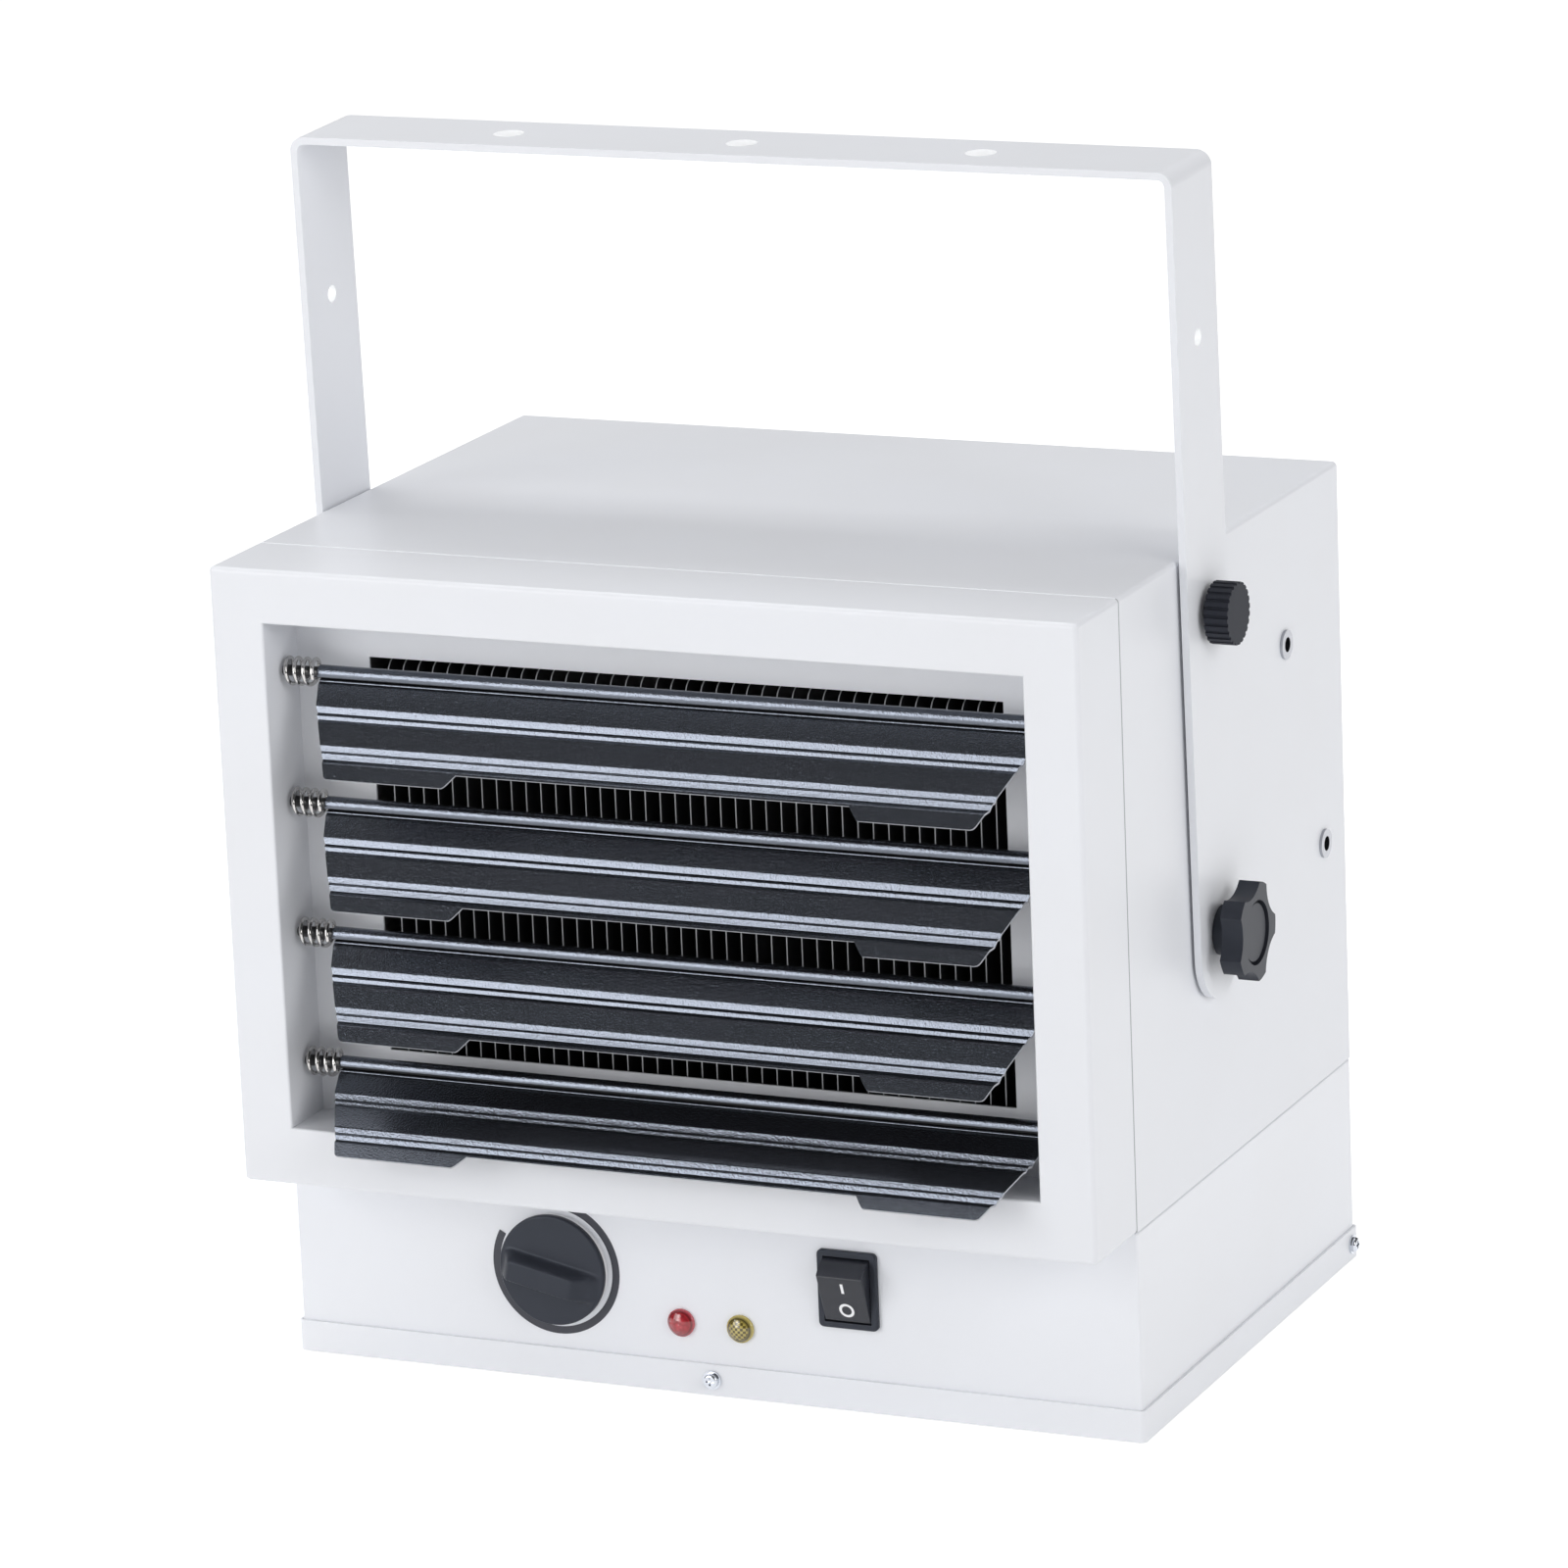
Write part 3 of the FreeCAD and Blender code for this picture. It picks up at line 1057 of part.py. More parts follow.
def terminal_block():
    """Supply terminals on the tray floor, near the cable bushing."""
    x0 = CABLE_X - TERMINAL_BLOCK_LENGTH / 2
    y1 = CASE_BACK - SHEET - 4 * BUSHING_TAIL
    y0 = y1 - TERMINAL_BLOCK_WIDTH
    top = TRAY_SHEET + TERMINAL_BLOCK_HEIGHT
    body = block(x0, x0 + TERMINAL_BLOCK_LENGTH, y0, y1, TRAY_SHEET, top)
    step = TERMINAL_BLOCK_LENGTH / TERMINAL_BLOCK_WAYS
    for way in range(TERMINAL_BLOCK_WAYS):
        x = x0 + (way + 0.5) * step
        for y in (y0 + TERMINAL_BLOCK_WIDTH / 4, y1 - TERMINAL_BLOCK_WIDTH / 4):
            body = body.cut(rod_z(TERMINAL_SCREW_RADIUS, x, y, top - TERMINAL_BLOCK_HEIGHT / 3, top))
    return body


def save(name, shape):
    """Write one piece, after checking that each solid in it is sound."""
    for solid in shape.Solids:
        if not solid.isValid() or solid.Volume <= 0:
            raise ValueError("unsound solid in " + name)
    if not shape.Solids:
        raise ValueError("no solid in " + name)
    whole = shape if len(shape.Solids) > 1 else shape.Solids[0]
    whole.exportStep(os.path.join("parts", name + ".step"))
    print(name, len(shape.Solids), round(shape.Volume / 1000, 2), "cm3")


os.makedirs("parts", exist_ok=True)

save("base_tray", base_tray())
save("tray_screws", tray_screws())
save("base_case", base_case())
save("divider_plate", divider_plate())
save("upper_case", upper_case())
save("rear_panel", rear_panel())
save("rear_screws", rear_screws())
save("front_frame", front_frame())
save("outlet_baffle", outlet_baffle())
save("element_end_plates", element_end_plates())
save("heating_fins", heating_fins())
save("heating_elements", heating_elements())
save("fan_shroud", fan_shroud())
save("motor_bracket", motor_bracket())
save("motor_housing", motor_housing())
save("motor_shaft", motor_shaft())
save("fan_wheel", fan_wheel())
save("limit_cutout", limit_cutout())

for number, (height, tilt) in enumerate(zip(rod_heights(), LOUVER_TILTS), start=1):
    save("louver_rod_%d" % number, louver_rod(height))
    save("louver_blade_%d" % number, louver_blade(height, tilt))
    spring, wire, tightest = louver_spring(height)
    save("louver_spring_%d" % number, spring)
    print("spring", number, "least gap", round(least_self_gap(wire), 2), "tightest bend", round(tightest, 2))

save("lock_nuts", lock_nuts())
save("pivot_nuts", pivot_nuts())
save("mounting_bracket", mounting_bracket())
for side, sign in SIDES.items():
    save("star_knob_" + side, for_side(star_knob(), sign))
    save("pivot_bolt_" + side, for_side(pivot_bolt(), sign))
    save("lock_cap_" + side, for_side(lock_cap(), sign))
    save("lock_stud_" + side, for_side(lock_stud(), sign))

save("thermostat_body", thermostat_body())
save("thermostat_shaft", thermostat_shaft())
save("thermostat_knob", thermostat_knob())
save("dial_trim_ring", dial_trim_ring())
save("red_lamp", lamp(-LAMP_HALF_SPACING))
save("amber_lamp", lamp(LAMP_HALF_SPACING))
save("switch_housing", switch_housing())
save("rocker", rocker())
save("cable_bushing", cable_bushing())
save("terminal_block", terminal_block())
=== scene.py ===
import json
import math

import bpy
from mathutils import Matrix, Vector


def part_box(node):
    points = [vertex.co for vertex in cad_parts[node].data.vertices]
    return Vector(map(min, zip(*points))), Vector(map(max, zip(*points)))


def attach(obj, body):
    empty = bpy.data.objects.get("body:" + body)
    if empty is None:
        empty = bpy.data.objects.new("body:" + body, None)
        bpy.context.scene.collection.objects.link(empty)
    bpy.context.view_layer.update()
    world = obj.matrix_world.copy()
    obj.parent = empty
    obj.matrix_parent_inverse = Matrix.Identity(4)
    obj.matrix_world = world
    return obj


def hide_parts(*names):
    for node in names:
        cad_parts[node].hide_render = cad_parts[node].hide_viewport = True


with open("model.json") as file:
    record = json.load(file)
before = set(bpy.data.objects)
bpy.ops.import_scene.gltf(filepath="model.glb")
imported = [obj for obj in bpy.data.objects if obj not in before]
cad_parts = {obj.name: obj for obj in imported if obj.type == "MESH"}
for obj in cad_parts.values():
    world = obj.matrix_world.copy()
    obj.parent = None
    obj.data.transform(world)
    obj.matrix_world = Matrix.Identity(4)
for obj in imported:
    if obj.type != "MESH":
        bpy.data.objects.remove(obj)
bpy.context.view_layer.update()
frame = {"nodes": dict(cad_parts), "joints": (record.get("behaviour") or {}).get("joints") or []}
nodes = frame["nodes"]

# Cabinet shells and frame
# Folded mild-steel sheet with a cool white powder coat baked on; the pieces are screwed together.
# The coat has a very fine orange-peel texture and a soft sheen, and the bottom of the groove behind the
# frame has painted shade on the cabinet's sides.


def shader(name, colour, roughness, metallic=0.0, coat=0.0):
    """A plain surface with its colour, roughness and sheen set."""
    material = bpy.data.materials.new(name)
    material.use_nodes = True
    surface = material.node_tree.nodes["Principled BSDF"]
    surface.inputs["Base Color"].default_value = (*colour, 1.0)
    surface.inputs["Roughness"].default_value = roughness
    surface.inputs["Metallic"].default_value = metallic
    surface.inputs["Coat Weight"].default_value = coat
    return material


def feed(tree, socket, value):
    """Fills a socket with a constant, or links it to another node's output."""
    if isinstance(value, bpy.types.NodeSocket):
        tree.links.new(value, socket)
    else:
        socket.default_value = value


def number_step(tree, operation, *values):
    """The result of one sum on numbers."""
    node = tree.nodes.new("ShaderNodeMath")
    node.operation = operation
    for socket, value in zip(node.inputs, values):
        feed(tree, socket, value)
    return node.outputs["Value"]


def vector_step(tree, operation, *values):
    """The result of one sum on vectors, which is a number for a length or a dot product."""
    node = tree.nodes.new("ShaderNodeVectorMath")
    node.operation = operation
    for socket, value in zip(node.inputs, values):
        feed(tree, socket, value)
    return node.outputs["Value" if operation in ("LENGTH", "DOT_PRODUCT") else "Vector"]


def along_axis(tree, vector, axis):
    """One axis of a vector."""
    split = tree.nodes.new("ShaderNodeSeparateXYZ")
    tree.links.new(vector, split.inputs["Vector"])
    return split.outputs[axis]


def place_on(tree):
    """The place on the piece, in its own metres."""
    return tree.nodes.new("ShaderNodeTexCoord").outputs["Object"]


def facing_of(tree):
    """The way that the surface faces."""
    return tree.nodes.new("ShaderNodeNewGeometry").outputs["True Normal"]


def paint_over(material, amount, colour):
    """Lays a colour over the one that a material has, by an amount from its own nodes."""
    tree = material.node_tree
    socket = tree.nodes["Principled BSDF"].inputs["Base Color"]
    under = socket.links[0].from_socket if socket.is_linked else tuple(socket.default_value)
    mix = tree.nodes.new("ShaderNodeMix")
    mix.data_type = "RGBA"
    feed(tree, mix.inputs["Factor"], amount)
    feed(tree, mix.inputs["A"], under)
    feed(tree, mix.inputs["B"], (*colour, 1.0))
    tree.links.new(mix.outputs["Result"], socket)


def noise_on(tree, place, scale, detail):
    """Soft noise over the piece."""
    noise = tree.nodes.new("ShaderNodeTexNoise")
    noise.inputs["Scale"].default_value = scale
    noise.inputs["Detail"].default_value = detail
    tree.links.new(place, noise.inputs["Vector"])
    return noise.outputs["Fac"]


def grain(material, scale, depth):
    """Fine bumps from noise, with depth in metres."""
    tree = material.node_tree
    bump = tree.nodes.new("ShaderNodeBump")
    bump.inputs["Strength"].default_value = 1.0
    bump.inputs["Distance"].default_value = depth
    tree.links.new(noise_on(tree, place_on(tree), scale, 2.0), bump.inputs["Height"])
    tree.links.new(bump.outputs["Normal"], tree.nodes["Principled BSDF"].inputs["Normal"])


def mottle(material, other, scale, stretch=(1.0, 1.0, 1.0)):
    """Blends the colour towards another one in soft patches, which may be drawn out along an axis."""
    tree = material.node_tree
    spread = tree.nodes.new("ShaderNodeMapping")
    spread.inputs["Scale"].default_value = stretch
    tree.links.new(place_on(tree), spread.inputs["Vector"])
    paint_over(material, noise_on(tree, spread.outputs["Vector"], scale, 3.0), other)


def dress(material, *names):
    """Gives CAD nodes a material."""
    for name in names:
        nodes[name].data.materials.clear()
        nodes[name].data.materials.append(material)


def powder_coat(name, colour, patches):
    """A white coat with fine orange peel and faint patches."""
    coat = shader(name, colour, 0.40)
    grain(coat, 900.0, 0.000012)
    mottle(coat, patches, 14.0)
    return coat


def painted_groove_shade(material, seam_y, half_width, colour):
    """Paints shade into the bottom of the groove that runs down the cabinet's sides at one depth."""
    tree = material.node_tree
    close = number_step(tree, "COMPARE", along_axis(tree, place_on(tree), "Y"), seam_y, half_width)
    sideways = number_step(tree, "ABSOLUTE", along_axis(tree, facing_of(tree), "X"))
    on_side = number_step(tree, "GREATER_THAN", sideways, 0.2)
    paint_over(material, number_step(tree, "MULTIPLY", close, on_side), colour)


white = (0.795, 0.812, 0.856)
white_patches = (0.77, 0.78, 0.81)
white_coat = powder_coat("white_coat", white, white_patches)
dress(white_coat, "rear_panel", "outlet_baffle")
# The base pieces get a lighter copy of the same white coat: painted light that brightens the base.
painted_light_base_coat = powder_coat("painted_light_base_coat", (0.835, 0.853, 0.898), (0.81, 0.82, 0.85))
dress(painted_light_base_coat, "base_tray", "base_case")
shell_coat = powder_coat("shell_coat", white, white_patches)
groove_half_width = 0.0005
# Painted shade: a grey line in the bottom of the groove between the frame and the upper case, on the sides
# only.
painted_groove_shade(shell_coat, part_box("upper_case")[0][1], groove_half_width, (0.42, 0.43, 0.45))
dress(shell_coat, "upper_case", "front_frame")

# Bracket
# Steel strap folded to a wide U with the same white coat, hung on the cabinet's two pivot bolts.
# Three holes are punched in its bar and one in each arm, and their walls have painted light that makes
# them paler than the faces, lifting the shade inside the holes.
bar_hole_x = (-0.102, 0.0, 0.102)
bar_hole_y = -0.0442
bar_hole_z = 0.4953
bar_hole_reach = 0.0072
arm_hole_y = -0.0421
arm_hole_z = 0.4259
arm_hole_reach = 0.0045


def painted_light_bores(material, bores, colour):
    """Paints light onto the walls of punched holes, each given by its axis, its middle and its reach."""
    tree = material.node_tree
    for axis, middle, reach in bores:
        across = [0.0 if letter == axis else 1.0 for letter in "XYZ"]
        offset = vector_step(tree, "SUBTRACT", place_on(tree), middle)
        span = vector_step(tree, "LENGTH", vector_step(tree, "MULTIPLY", offset, across))
        near = number_step(tree, "LESS_THAN", span, reach)
        on_wall = number_step(tree, "COMPARE", along_axis(tree, facing_of(tree), axis), 0.0, 0.5)
        paint_over(material, number_step(tree, "MULTIPLY", near, on_wall), colour)


bracket_holes = [("Z", (x, bar_hole_y, bar_hole_z), bar_hole_reach) for x in bar_hole_x]
bracket_holes.append(("X", (0.0, arm_hole_y, arm_hole_z), arm_hole_reach))
bracket_coat = powder_coat("bracket_coat", white, white_patches)
# Painted light: the hole walls are near-white so that the shade inside the holes is lifted.
painted_light_bores(bracket_coat, bracket_holes, (0.97, 0.98, 0.99))
dress(bracket_coat, "mounting_bracket")

# Plain inner sheet
# Divider, element end plates, fan shroud and motor strap are zinc-coated sheet left unpainted inside.
# The zinc is given a dark grey: painted shade that stands in for the darkness inside the cabinet.
zinc_in_painted_shade = shader("zinc_in_painted_shade", (0.24, 0.245, 0.25), 0.42, metallic=0.9)
mottle(zinc_in_painted_shade, (0.33, 0.335, 0.34), 160.0)
dress(zinc_in_painted_shade, "divider_plate", "element_end_plates", "fan_shroud", "motor_bracket")

# Screws, inserts and bolts
# Turned or headed steel with bright zinc plate; the screws have cross recesses and loose washers.
# The threaded inserts pressed into the cabinet's sides are a duller steel.
zinc_plate = shader("zinc_plate", (0.62, 0.64, 0.69), 0.16, metallic=1.0)
mottle(zinc_plate, (0.66, 0.69, 0.74), 420.0)
dress(zinc_plate, "tray_screws", "rear_screws", "pivot_bolt_left", "pivot_bolt_right",
      "lock_stud_left", "lock_stud_right", "motor_shaft")
insert_steel = shader("insert_steel", (0.50, 0.51, 0.55), 0.22, metallic=1.0)
mottle(insert_steel, (0.36, 0.37, 0.40), 500.0)
dress(insert_steel, "lock_nuts", "pivot_nuts")

# Heating fins and elements
# Thin steel fins, matt black with pale grey rims, pressed on sheathed hairpin tubes.
fin_black = shader("fin_black", (0.012, 0.012, 0.014), 0.55)


def pale_rims(material, colour):
    """Gives the fins' narrow rims a paler colour, and leaves their broad sides dark."""
    tree = material.node_tree
    sideways = number_step(tree, "ABSOLUTE", along_axis(tree, facing_of(tree), "X"))
    paint_over(material, number_step(tree, "LESS_THAN", sideways, 0.5), colour)


pale_rims(fin_black, (0.52, 0.53, 0.55))
dress(fin_black, "heating_fins")
element_grey = shader("element_grey", (0.10, 0.10, 0.10), 0.5, metallic=0.6)
mottle(element_grey, (0.16, 0.13, 0.10), 120.0)
dress(element_grey, "heating_elements")

# Fan and motor
# Pressed aluminium fan on a black shaded-pole motor, whose shaft it is fixed to.
# The aluminium is given a dark grey: painted shade for the darkness inside the cabinet.
fan_metal_in_painted_shade = shader("fan_metal_in_painted_shade", (0.26, 0.265, 0.27), 0.4, metallic=1.0)
mottle(fan_metal_in_painted_shade, (0.36, 0.365, 0.37), 90.0, (1.0, 1.0, 9.0))
dress(fan_metal_in_painted_shade, "fan_wheel")
motor_black = shader("motor_black", (0.02, 0.02, 0.02), 0.5)
grain(motor_black, 1400.0, 0.00003)
mottle(motor_black, (0.032, 0.032, 0.032), 70.0)
dress(motor_black, "motor_housing")

# Louvers
# Roll-formed steel blades with a satin charcoal coat: two pressed-in beads and a curl round a black rod.
# Nickel coil springs on the rods push the blades to the right and hold them where they are set.
charcoal = shader("charcoal", (0.125, 0.137, 0.163), 0.225, metallic=0.95)
grain(charcoal, 1300.0, 0.00016)
# The blades' cut rims get a pale grey: a painted highlight that draws thin bright lines along their edges.
painted_rim_highlight = shader("painted_rim_highlight", (0.60, 0.61, 0.65), 0.5)
mottle(painted_rim_highlight, (0.30, 0.31, 0.34), 700.0)
rod_black = shader("rod_black", (0.015, 0.015, 0.016), 0.3)
mottle(rod_black, (0.035, 0.034, 0.034), 200.0, (0.1, 1.0, 1.0))
nickel = shader("nickel", (0.62, 0.61, 0.60), 0.12, metallic=1.0)
mottle(nickel, (0.50, 0.49, 0.48), 500.0)
blade_sheet = 0.0008
blade_drop = 0.045
curl_radius = 0.00275
curl_degrees = range(-60, 220, 10)
flat_set_back = 0.001
crease = ((0.0026, 1.35), (0.0030, 1.0), (0.0032, 1.0), (0.0037, 1.32),
          (0.0039, 1.36), (0.0043, 1.2), (0.0048, 1.0), (0.0052, 1.0))
bead_margin = 0.0003
upper_bead = ((0.0, 0.0), (0.03, 0.02), (0.06, 0.10), (0.30, 0.93), (0.34, 0.99),
              (0.36, 1.0), (0.38, 0.96), (0.41, 0.82), (0.52, 0.15), (0.55, 0.02),
              (0.57, 0.0), (0.59, 0.02), (0.63, 0.12), (0.74, 0.44), (0.78, 0.50),
              (0.81, 0.49), (0.86, 0.40), (0.95, 0.05), (0.98, 0.01), (1.0, 0.0))
lower_bead = ((0.0, 0.0), (0.03, 0.015), (0.05, 0.06), (0.23, 0.60), (0.26, 0.67),
              (0.28, 0.69), (0.30, 0.66), (0.33, 0.53), (0.37, 0.36), (0.40, 0.32),
              (0.43, 0.35), (0.46, 0.43), (0.62, 0.90), (0.65, 0.98), (0.68, 1.0),
              (0.71, 0.95), (0.75, 0.80), (0.93, 0.10), (0.97, 0.02), (1.0, 0.0))
beads = ((0.0140, 0.0072, 0.0012, upper_bead), (0.0305, 0.0081, 0.0016, lower_bead))
taper_start = 0.010
taper_insets = (0.0130, 0.0166)
notch_half = 0.0840
notch_step = 0.0042
notch_depth = 0.0058
notch_round_from = 0.6
notch_rows = (0.0, 0.25, 0.5, 0.7, 0.85, 0.95, 1.0)
corner_round = 0.0014
hair = 1e-6
louver_tilts = (38.0, 38.0, 38.0, 54.0)


def piece(name, points, faces, *materials):
    """A mesh with its materials, put in the scene."""
    mesh = bpy.data.meshes.new(name)
    mesh.from_pydata(points, [], faces)
    for material in materials:
        mesh.materials.append(material)
    made = bpy.data.objects.new(name, mesh)
    bpy.context.scene.collection.objects.link(made)
    return made


def blade_profile():
    """Middle of the blade's sheet as (drop, rise), from the curl's free edge to the lower edge."""
    points = []
    for degrees in curl_degrees:
        angle = math.radians(degrees)
        points.append((-curl_radius * math.sin(angle), curl_radius * math.cos(angle)))
    points += [(drop, -flat_set_back * depth) for drop, depth in crease]
    for start, length, depth, shape in beads:
        points.append((start - bead_margin, -flat_set_back))
        points += [(start + length * part, -flat_set_back - depth * dip) for part, dip in shape]
        points.append((start + length + bead_margin, -flat_set_back))
    points += [(blade_drop - notch_depth + notch_depth * part, -flat_set_back) for part in notch_rows]
    return points


def blade_end(half, inset, drop):
    """Distance from the blade's middle to one end at a drop below the rod; the lower corner is round."""
    taper = max(0.0, drop - taper_start) / (blade_drop - taper_start)
    into = max(0.0, drop - blade_drop + corner_round)
    rounding = corner_round - math.sqrt(corner_round ** 2 - into ** 2)
    return half - inset * taper - rounding


def notch_edge(drop):
    """Distance from the blade's middle to the edge of the notch in its lower edge."""
    part = max(0.0, drop - blade_drop + notch_depth) / notch_depth
    into = max(0.0, part - notch_round_from) / (1.0 - notch_round_from)
    return notch_half + notch_step * part + corner_round * 0.5 * (1.0 - math.sqrt(1.0 - into ** 2))


def louver_blade(name, node, rod, tilt):
    """The blade as one thick sheet, hung on its rod at its tilt."""
    low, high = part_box(node)
    middle = (low[0] + high[0]) / 2
    half = (high[0] - low[0]) / 2
    axis_y = (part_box(rod)[0][1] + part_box(rod)[1][1]) / 2
    axis_z = (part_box(rod)[0][2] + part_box(rod)[1][2]) / 2
    profile = blade_profile()
    count = len(profile)
    points = []
    for side in (0.5, -0.5):
        for row, (drop, rise) in enumerate(profile):
            before = profile[max(row - 1, 0)]
            after = profile[min(row + 1, count - 1)]
            run = Vector((after[0] - before[0], after[1] - before[1])).normalized()
            out_drop = drop - run.y * side * blade_sheet
            out_rise = rise + run.x * side * blade_sheet
            y = axis_y - out_rise * math.cos(tilt) - out_drop * math.sin(tilt)
            z = axis_z + out_rise * math.sin(tilt) - out_drop * math.cos(tilt)
            left, right = [blade_end(half, inset, drop) for inset in taper_insets]
            step_in = notch_edge(drop)
            points += [(middle + x, y, z) for x in (-left, -step_in, step_in, right)]
    faces = []
    used = {}
    for row in range(count - 1):
        in_notch = profile[row][0] >= blade_drop - notch_depth - hair
        for bay in (0, 2) if in_notch else (0, 1, 2):
            a = row * 4 + bay
            faces.append((a, a + 4, a + 5, a + 1))
            used.update(dict.fromkeys(((a, a + 4), (a + 4, a + 5), (a + 5, a + 1), (a + 1, a))))
    rims = [edge for edge in used if (edge[1], edge[0]) not in used]
    other = count * 4
    smooth_count = 2 * len(faces)
    faces += [tuple(corner + other for corner in reversed(face)) for face in faces]
    faces += [(a, a + other, b + other, b) for b, a in rims]
    blade = piece(name, points, faces, charcoal, painted_rim_highlight)
    mesh = blade.data
    # The rim faces take the second material, the painted highlight.
    for index, polygon in enumerate(mesh.polygons):
        polygon.use_smooth = index < smooth_count
        polygon.material_index = 0 if index < smooth_count else 1
    rim_edges = {key for polygon in mesh.polygons[smooth_count:] for key in polygon.edge_keys}
    for edge in mesh.edges:
        edge.use_edge_sharp = edge.key in rim_edges
    mesh.validate()
    return blade


for number, degrees in enumerate(louver_tilts, start=1):
    blade_node = "louver_blade_%d" % number
    rod_node = "louver_rod_%d" % number
    blade = louver_blade("louver_sheet_%d" % number, blade_node, rod_node, math.radians(degrees))
    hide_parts(blade_node)
    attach(blade, "louver_%d" % number)
    dress(rod_black, rod_node)
    dress(nickel, "louver_spring_%d" % number)

# Knobs, lock screws and small mouldings
# Moulded dark grey plastic with a fine spark-eroded grain and a cool sheen; the lock caps are duller.
# The dial's trim ring and the terminal block are a pale plastic.


def gloss(material, level, tint=(1.0, 1.0, 1.0)):
    """How much light a plastic throws back, and its tint."""
    surface = material.node_tree.nodes["Principled BSDF"]
    surface.inputs["Specular IOR Level"].default_value = level
    surface.inputs["Specular Tint"].default_value = (*tint, 1.0)


cool_tint = (0.80, 0.88, 1.0)
dark_plastic = shader("dark_plastic", (0.021, 0.023, 0.031), 0.42)
gloss(dark_plastic, 0.32, cool_tint)
grain(dark_plastic, 1800.0, 0.00002)
mottle(dark_plastic, (0.029, 0.031, 0.040), 60.0)
dress(dark_plastic, "star_knob_left", "star_knob_right", "switch_housing", "cable_bushing",
      "thermostat_body", "limit_cutout")
cap_plastic = shader("cap_plastic", (0.016, 0.017, 0.024), 0.6)
gloss(cap_plastic, 0.35, cool_tint)
grain(cap_plastic, 1500.0, 0.00004)
mottle(cap_plastic, (0.022, 0.023, 0.031), 60.0)
dress(cap_plastic, "lock_cap_left", "lock_cap_right")
pale_plastic = shader("pale_plastic", (0.80, 0.80, 0.80), 0.4)
grain(pale_plastic, 1800.0, 0.00001)
mottle(pale_plastic, (0.77, 0.77, 0.78), 80.0)
dress(pale_plastic, "dial_trim_ring", "terminal_block")

# Dial print
# Black scale band screen-printed on the panel round the thermostat dial, one even stroke.
# It starts at the upper left, runs round by the bottom and the right side, and ends close to the top.
dial_x = -0.0679
dial_z = 0.0470
panel_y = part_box("base_case")[0][1]
print_lift = 0.00008
band_inner = 0.0250
band_outer = 0.0282
band_start = 151.0
band_sweep = 291.0
band_steps = 90
black_ink = shader("black_ink", (0.026, 0.028, 0.040), 0.5)
mottle(black_ink, (0.034, 0.036, 0.048), 300.0)


def dial_point(radius, angle, y):
    """A place round the dial's axis."""
    return (dial_x + radius * math.cos(angle), y, dial_z + radius * math.sin(angle))


band_points = []
for step in range(band_steps + 1):
    angle = math.radians(band_start + band_sweep * step / band_steps)
    band_points += [dial_point(radius, angle, panel_y - print_lift) for radius in (band_inner, band_outer)]
band_faces = [(2 * step, 2 * step + 1, 2 * step + 3, 2 * step + 2) for step in range(band_steps)]
dial_band = piece("dial_scale_band", band_points, band_faces, black_ink)
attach(dial_band, "cabinet")

# Thermostat knob
# One dark moulding: a flat disc with a soft rounded grip bar across it, pressed on the thermostat's shaft.
# The bar's pointing end is close to the rim and its other end slopes down; the shaft ends in the disc.
knob_low, knob_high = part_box("thermostat_knob")
knob_radius = (knob_high[0] - knob_low[0]) / 2
knob_thick = 0.0024
knob_face = knob_high[1] - knob_thick
knob_rings = 56
knob_spokes = 144
ring_spread = 1.25
grip_rise = knob_high[1] - knob_low[1] - knob_thick
grip_turn = math.radians(12.0)
grip_upper_side = (0.0010, 0.0044)
grip_lower_side = (0.0070, 0.0094)
grip_steep = (0.0160, 0.0220)
grip_slope = (0.0112, 0.0225)
rim_round = 0.0009


def ease(start, end, value):
    """A smooth fall from one to nothing between two distances."""
    part = min(1.0, max(0.0, (value - start) / (end - start)))
    return 1.0 - part * part * (3.0 - 2.0 * part)


def knob_height(x, z):
    """How far the knob's front stands out of the disc's plane at a place on it."""
    along = x * math.cos(grip_turn) - z * math.sin(grip_turn)
    across = x * math.sin(grip_turn) + z * math.cos(grip_turn)
    ends = ease(*grip_steep, -along) * ease(*grip_slope, along)
    bar = grip_rise * ends * ease(*grip_upper_side, across) * ease(*grip_lower_side, -across)
    into = max(0.0, math.hypot(x, z) - knob_radius + rim_round)
    return bar - rim_round + math.sqrt(max(0.0, rim_round ** 2 - into ** 2))


spoke_angles = [2 * math.pi * spoke / knob_spokes for spoke in range(knob_spokes)]
knob_points = [(dial_x, knob_face - knob_height(0.0, 0.0), dial_z)]
for ring in range(1, knob_rings + 1):
    radius = knob_radius * (1.0 - (1.0 - ring / knob_rings) ** ring_spread)
    for angle in spoke_angles:
        height = knob_height(radius * math.cos(angle), radius * math.sin(angle))
        knob_points.append(dial_point(radius, angle, knob_face - height))
knob_points += [dial_point(knob_radius, angle, knob_high[1]) for angle in spoke_angles]
knob_faces = []
for spoke in range(knob_spokes):
    after = (spoke + 1) % knob_spokes
    knob_faces.append((0, 1 + spoke, 1 + after))
    for ring in range(knob_rings):
        near_ring = 1 + ring * knob_spokes
        far_ring = near_ring + knob_spokes
        knob_faces.append((near_ring + spoke, far_ring + spoke, far_ring + after, near_ring + after))
back_ring = 1 + knob_rings * knob_spokes
knob_faces.append(tuple(reversed(range(back_ring, back_ring + knob_spokes))))
dial_knob = piece("dial_knob", knob_points, knob_faces, dark_plastic)
dial_knob.data.shade_smooth()
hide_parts("thermostat_knob")
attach(dial_knob, "dial")

